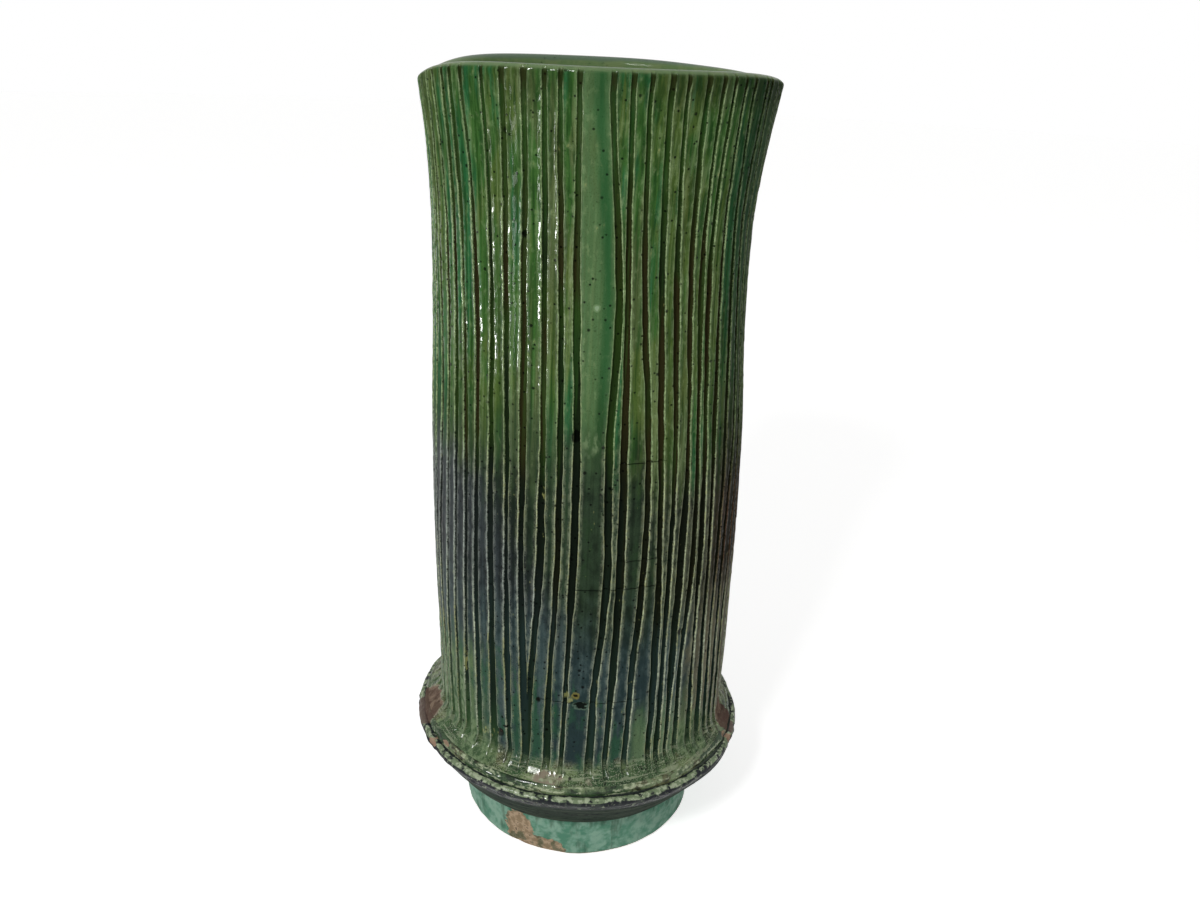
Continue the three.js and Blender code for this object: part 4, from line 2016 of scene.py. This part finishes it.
@dataclass(frozen=True)
class FootGlaze:
    """The blue-green glaze of the foot, with patches where the clay is bare."""

    sea: Paint = Paint(94, 150, 124)
    pale: Paint = Paint(148, 188, 166)
    stain_and_shade: Paint = Paint(54, 86, 64)
    clay: Paint = Paint(198, 174, 146)
    tan: Paint = Paint(164, 142, 114)
    soot: Paint = Paint(74, 66, 48)

    def material(self) -> bpy.types.Material:
        """Builds the material.

        Returns:
            The material.
        """
        material, nodes = new_material("foot_glaze")
        mottle = nodes.noise((120.0, 120.0, 120.0), 4.0, 3.0)
        runs = nodes.noise((170.0, 170.0, 34.0), 4.0, 6.0)
        grain = nodes.noise((800.0, 800.0, 800.0), 2.0, 8.0)
        specks = nodes.noise((340.0, 340.0, 340.0), 4.0, 9.0)
        # Painted shade: the dark stains are pushed up towards the foot's top, under the saucer's overhang.
        high = nodes.along(2).step(0.012, 0.025)
        glazed = nodes.attribute("glazed")
        bare = nodes.attribute("bare").frayed(mottle, 1.0).frayed(specks, 1.2).step(0.42, 0.58)
        bare = bare.larger(1.0 - glazed)
        clay = nodes.coats(
            self.tan,
            (specks.step(0.42, 0.56), self.clay),
            ((specks * 0.5 + grain * 0.5).step(0.56, 0.66) * 0.8, self.soot),
            (mottle.step(0.52, 0.6) * glazed * 0.6, self.stain_and_shade),
        )
        colour = nodes.coats(
            self.sea,
            ((mottle * 0.6 + specks * 0.4).step(0.38, 0.6), self.pale),
            # Real stains, made more common towards the top as painted shade.
            ((runs + high * 0.08).step(0.56, 0.7) * 0.6, self.stain_and_shade),
            (bare, clay),
        )
        normal = nodes.bump(mottle * 0.5 + specks * 0.4 + grain * 0.2 - bare * 0.4, 0.0006)
        nodes.glossy_clay(colour, 0.16 + grain * 0.16 + bare * 0.5, normal, (1.0 - bare) * 0.15)
        return material


@dataclass(frozen=True)
class Lamp:
    """A soft lamp that faces the vase.

    Attributes:
        name: Its name.
        place: Its place in metres.
        size: Its width and height in metres.
        power: Its power in watts.
        only_glints: Whether it is seen only as a reflection in the glaze.
    """

    name: str
    place: tuple[float, float, float]
    size: tuple[float, float]
    power: float
    only_glints: bool = False

    AIM = Vector((0.0, 0.0, 0.22))

    def hang(self) -> None:
        """Adds the lamp to the scene."""
        data = bpy.data.lights.new(self.name, "AREA")
        data.shape = "RECTANGLE"
        data.size, data.size_y = self.size
        data.energy = self.power
        lamp = bpy.data.objects.new(self.name, data)
        aim = self.AIM - Vector(self.place)
        lamp.location = self.place
        lamp.rotation_euler = aim.to_track_quat("-Z", "Y").to_euler()
        lamp.visible_diffuse = not self.only_glints
        bpy.context.scene.collection.objects.link(lamp)


@dataclass(frozen=True)
class Studio:
    """The camera at the photograph's place, a plain pale floor and plain soft light.

    Attributes:
        eye: Place of the camera, in millimetres.
        pitch: How far it looks down, in degrees.
        roll: How far it is turned clockwise about its own view.
        focal_pixels: Distance of the picture plane, in pixels of a frame 1200 wide.
        frame_width: Width of the photograph's frame in pixels.
        sensor_width: Width of the camera's sensor in millimetres.
        floor_radius: Radius of the floor in metres.
        floor_paint: Colour of the floor.
        ambient: Strength of the even light from all round.
    """

    eye: tuple[float, float, float] = (5.24, -529.56, 434.63)
    pitch: float = 22.014
    roll: float = 2.6
    focal_pixels: float = 1044.1
    frame_width: float = 1200.0
    sensor_width: float = 36.0
    floor_radius: float = 6.0
    floor_paint: Paint = Paint(244, 244, 243)
    ambient: float = 0.32

    LAMPS = (
        Lamp("key_lamp", (-0.5, -1.12, 1.15), (0.22, 0.22), 9.2),
        Lamp("fill_lamp", (1.1, -0.8, 0.7), (0.8, 0.8), 0.3),
        Lamp("glint_lamp", (-0.56, -0.49, 0.17), (0.07, 0.14), 1.5, only_glints=True),
        Lamp("rim_lamp", (-0.6, -1.03, 1.15), (0.45, 0.45), 32.0, only_glints=True),
    )
    WHITE = (1.0, 1.0, 1.0, 1.0)

    def camera(self) -> None:
        """Places the camera and makes it the scene's own."""
        pitch, roll = math.radians(self.pitch), math.radians(self.roll)
        forward = Vector((0.0, math.cos(pitch), -math.sin(pitch)))
        level = Vector((1.0, 0.0, 0.0))
        upright = level.cross(forward)
        right = level * math.cos(roll) + upright * math.sin(roll)
        up = upright * math.cos(roll) - level * math.sin(roll)
        turned = Matrix((right, up, -forward)).transposed().to_4x4()
        data = bpy.data.cameras.new("camera")
        data.sensor_width = self.sensor_width
        data.lens = self.focal_pixels / self.frame_width * self.sensor_width
        data.clip_start, data.clip_end = 0.01, 50.0
        camera = bpy.data.objects.new("camera", data)
        camera.matrix_world = Matrix.Translation(Vector(self.eye) * MM) @ turned
        bpy.context.scene.collection.objects.link(camera)
        bpy.context.scene.camera = camera

    @staticmethod
    def seen_rays(nodes: Nodes) -> Link:
        """1 for rays that come from the camera, a reflection or glass, and 0 for those that light things.

        Args:
            nodes: The nodes of the floor or the world.

        Returns:
            The mask.
        """
        rays = nodes.add("ShaderNodeLightPath")
        seen = Link(nodes, rays.outputs["Is Camera Ray"])
        seen = seen.larger(Link(nodes, rays.outputs["Is Glossy Ray"]))
        return seen.larger(Link(nodes, rays.outputs["Is Transmission Ray"]))

    def floor(self) -> None:
        """Lays the floor, which looks white and keeps the vase's shadow."""
        deselect_all()
        bpy.ops.mesh.primitive_circle_add(vertices=96, radius=self.floor_radius, fill_type="NGON")
        floor = bpy.context.object
        floor.name = "floor"
        material, nodes = new_material("floor_paint")
        shader = nodes.link(
            "ShaderNodeBsdfPrincipled",
            values={
                "Base Color": self.floor_paint,
                "Roughness": 0.9,
                "Specular IOR Level": 0.1,
                "Emission Color": self.WHITE,
                "Emission Strength": self.seen_rays(nodes) * (1.0 - self.ambient),
            },
        )
        nodes.add("ShaderNodeOutputMaterial", values={0: shader})
        floor.data.materials.append(material)

    def world(self) -> None:
        """Lights the surroundings evenly, white where they are seen or reflected."""
        world = bpy.data.worlds.new("studio")
        bpy.context.scene.world = world
        world.use_nodes = True
        nodes = Nodes(world.node_tree)
        strength = self.ambient + self.seen_rays(nodes) * (1.0 - self.ambient)
        light = nodes.link("ShaderNodeBackground", values={"Color": self.WHITE, "Strength": strength})
        nodes.add("ShaderNodeOutputWorld", values={0: light})

    def set_up(self) -> None:
        """Sets up the whole studio."""
        bpy.context.scene.view_settings.view_transform = "Standard"
        self.camera()
        self.floor()
        for lamp in self.LAMPS:
            lamp.hang()
        self.world()


class Finish(Enum):
    """The finishes of the vase, by the record's material slots."""

    WALL = "wall_glaze"
    COLLAR = "collar_glaze"
    BASE = "base_glaze"
    FOOT = "foot_glaze"


class Vase:
    """The whole vase, piece by piece from the foot to the lip."""

    WALL_RINGS = ("wall_ring_1", "wall_ring_2", "wall_ring_3", "wall_ring_4", "wall_ring_5", "mouth_ring")

    def __init__(self) -> None:
        """Works out the wall from the frame and lists the pieces."""
        self.profile = WallProfile(bottom=foot_of("wall_ring_1"), top=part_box("mouth_ring")[1].z / MM)
        surface = WallSurface(self.profile, Cuts())
        self.pieces: list[Piece] = [
            FootRing("foot_ring", Finish.FOOT.value, self.profile),
            BaseSaucer("base_saucer", Finish.BASE.value, self.profile),
            CollarCoil("collar_coil", Finish.COLLAR.value, self.profile),
        ]
        tops = [foot_of(node) for node in self.WALL_RINGS[1:]] + [self.profile.top]
        for node, top in zip(self.WALL_RINGS, tops):
            kind = MouthRing if node == "mouth_ring" else WallRing
            self.pieces.append(kind(node, Finish.WALL.value, surface, foot_of(node), top))

    def make(self) -> None:
        """Builds and dresses every piece, and reports each."""
        finishes = {
            Finish.WALL.value: WallGlaze().material(self.profile),
            Finish.COLLAR.value: CollarGlaze().material(),
            Finish.BASE.value: BaseGlaze().material(),
            Finish.FOOT.value: FootGlaze().material(),
        }
        for piece in self.pieces:
            piece.build()
            piece.dress(finishes[piece.slot])
            log.info("%s: %d faces", piece.name, len(piece.mesh.data.polygons))


def main() -> None:
    """Sets up the studio and makes the vase."""
    logging.basicConfig(level=logging.INFO, format="%(name)s: %(message)s")
    Studio().set_up()
    Vase().make()


if __name__ == "__main__":
    main()
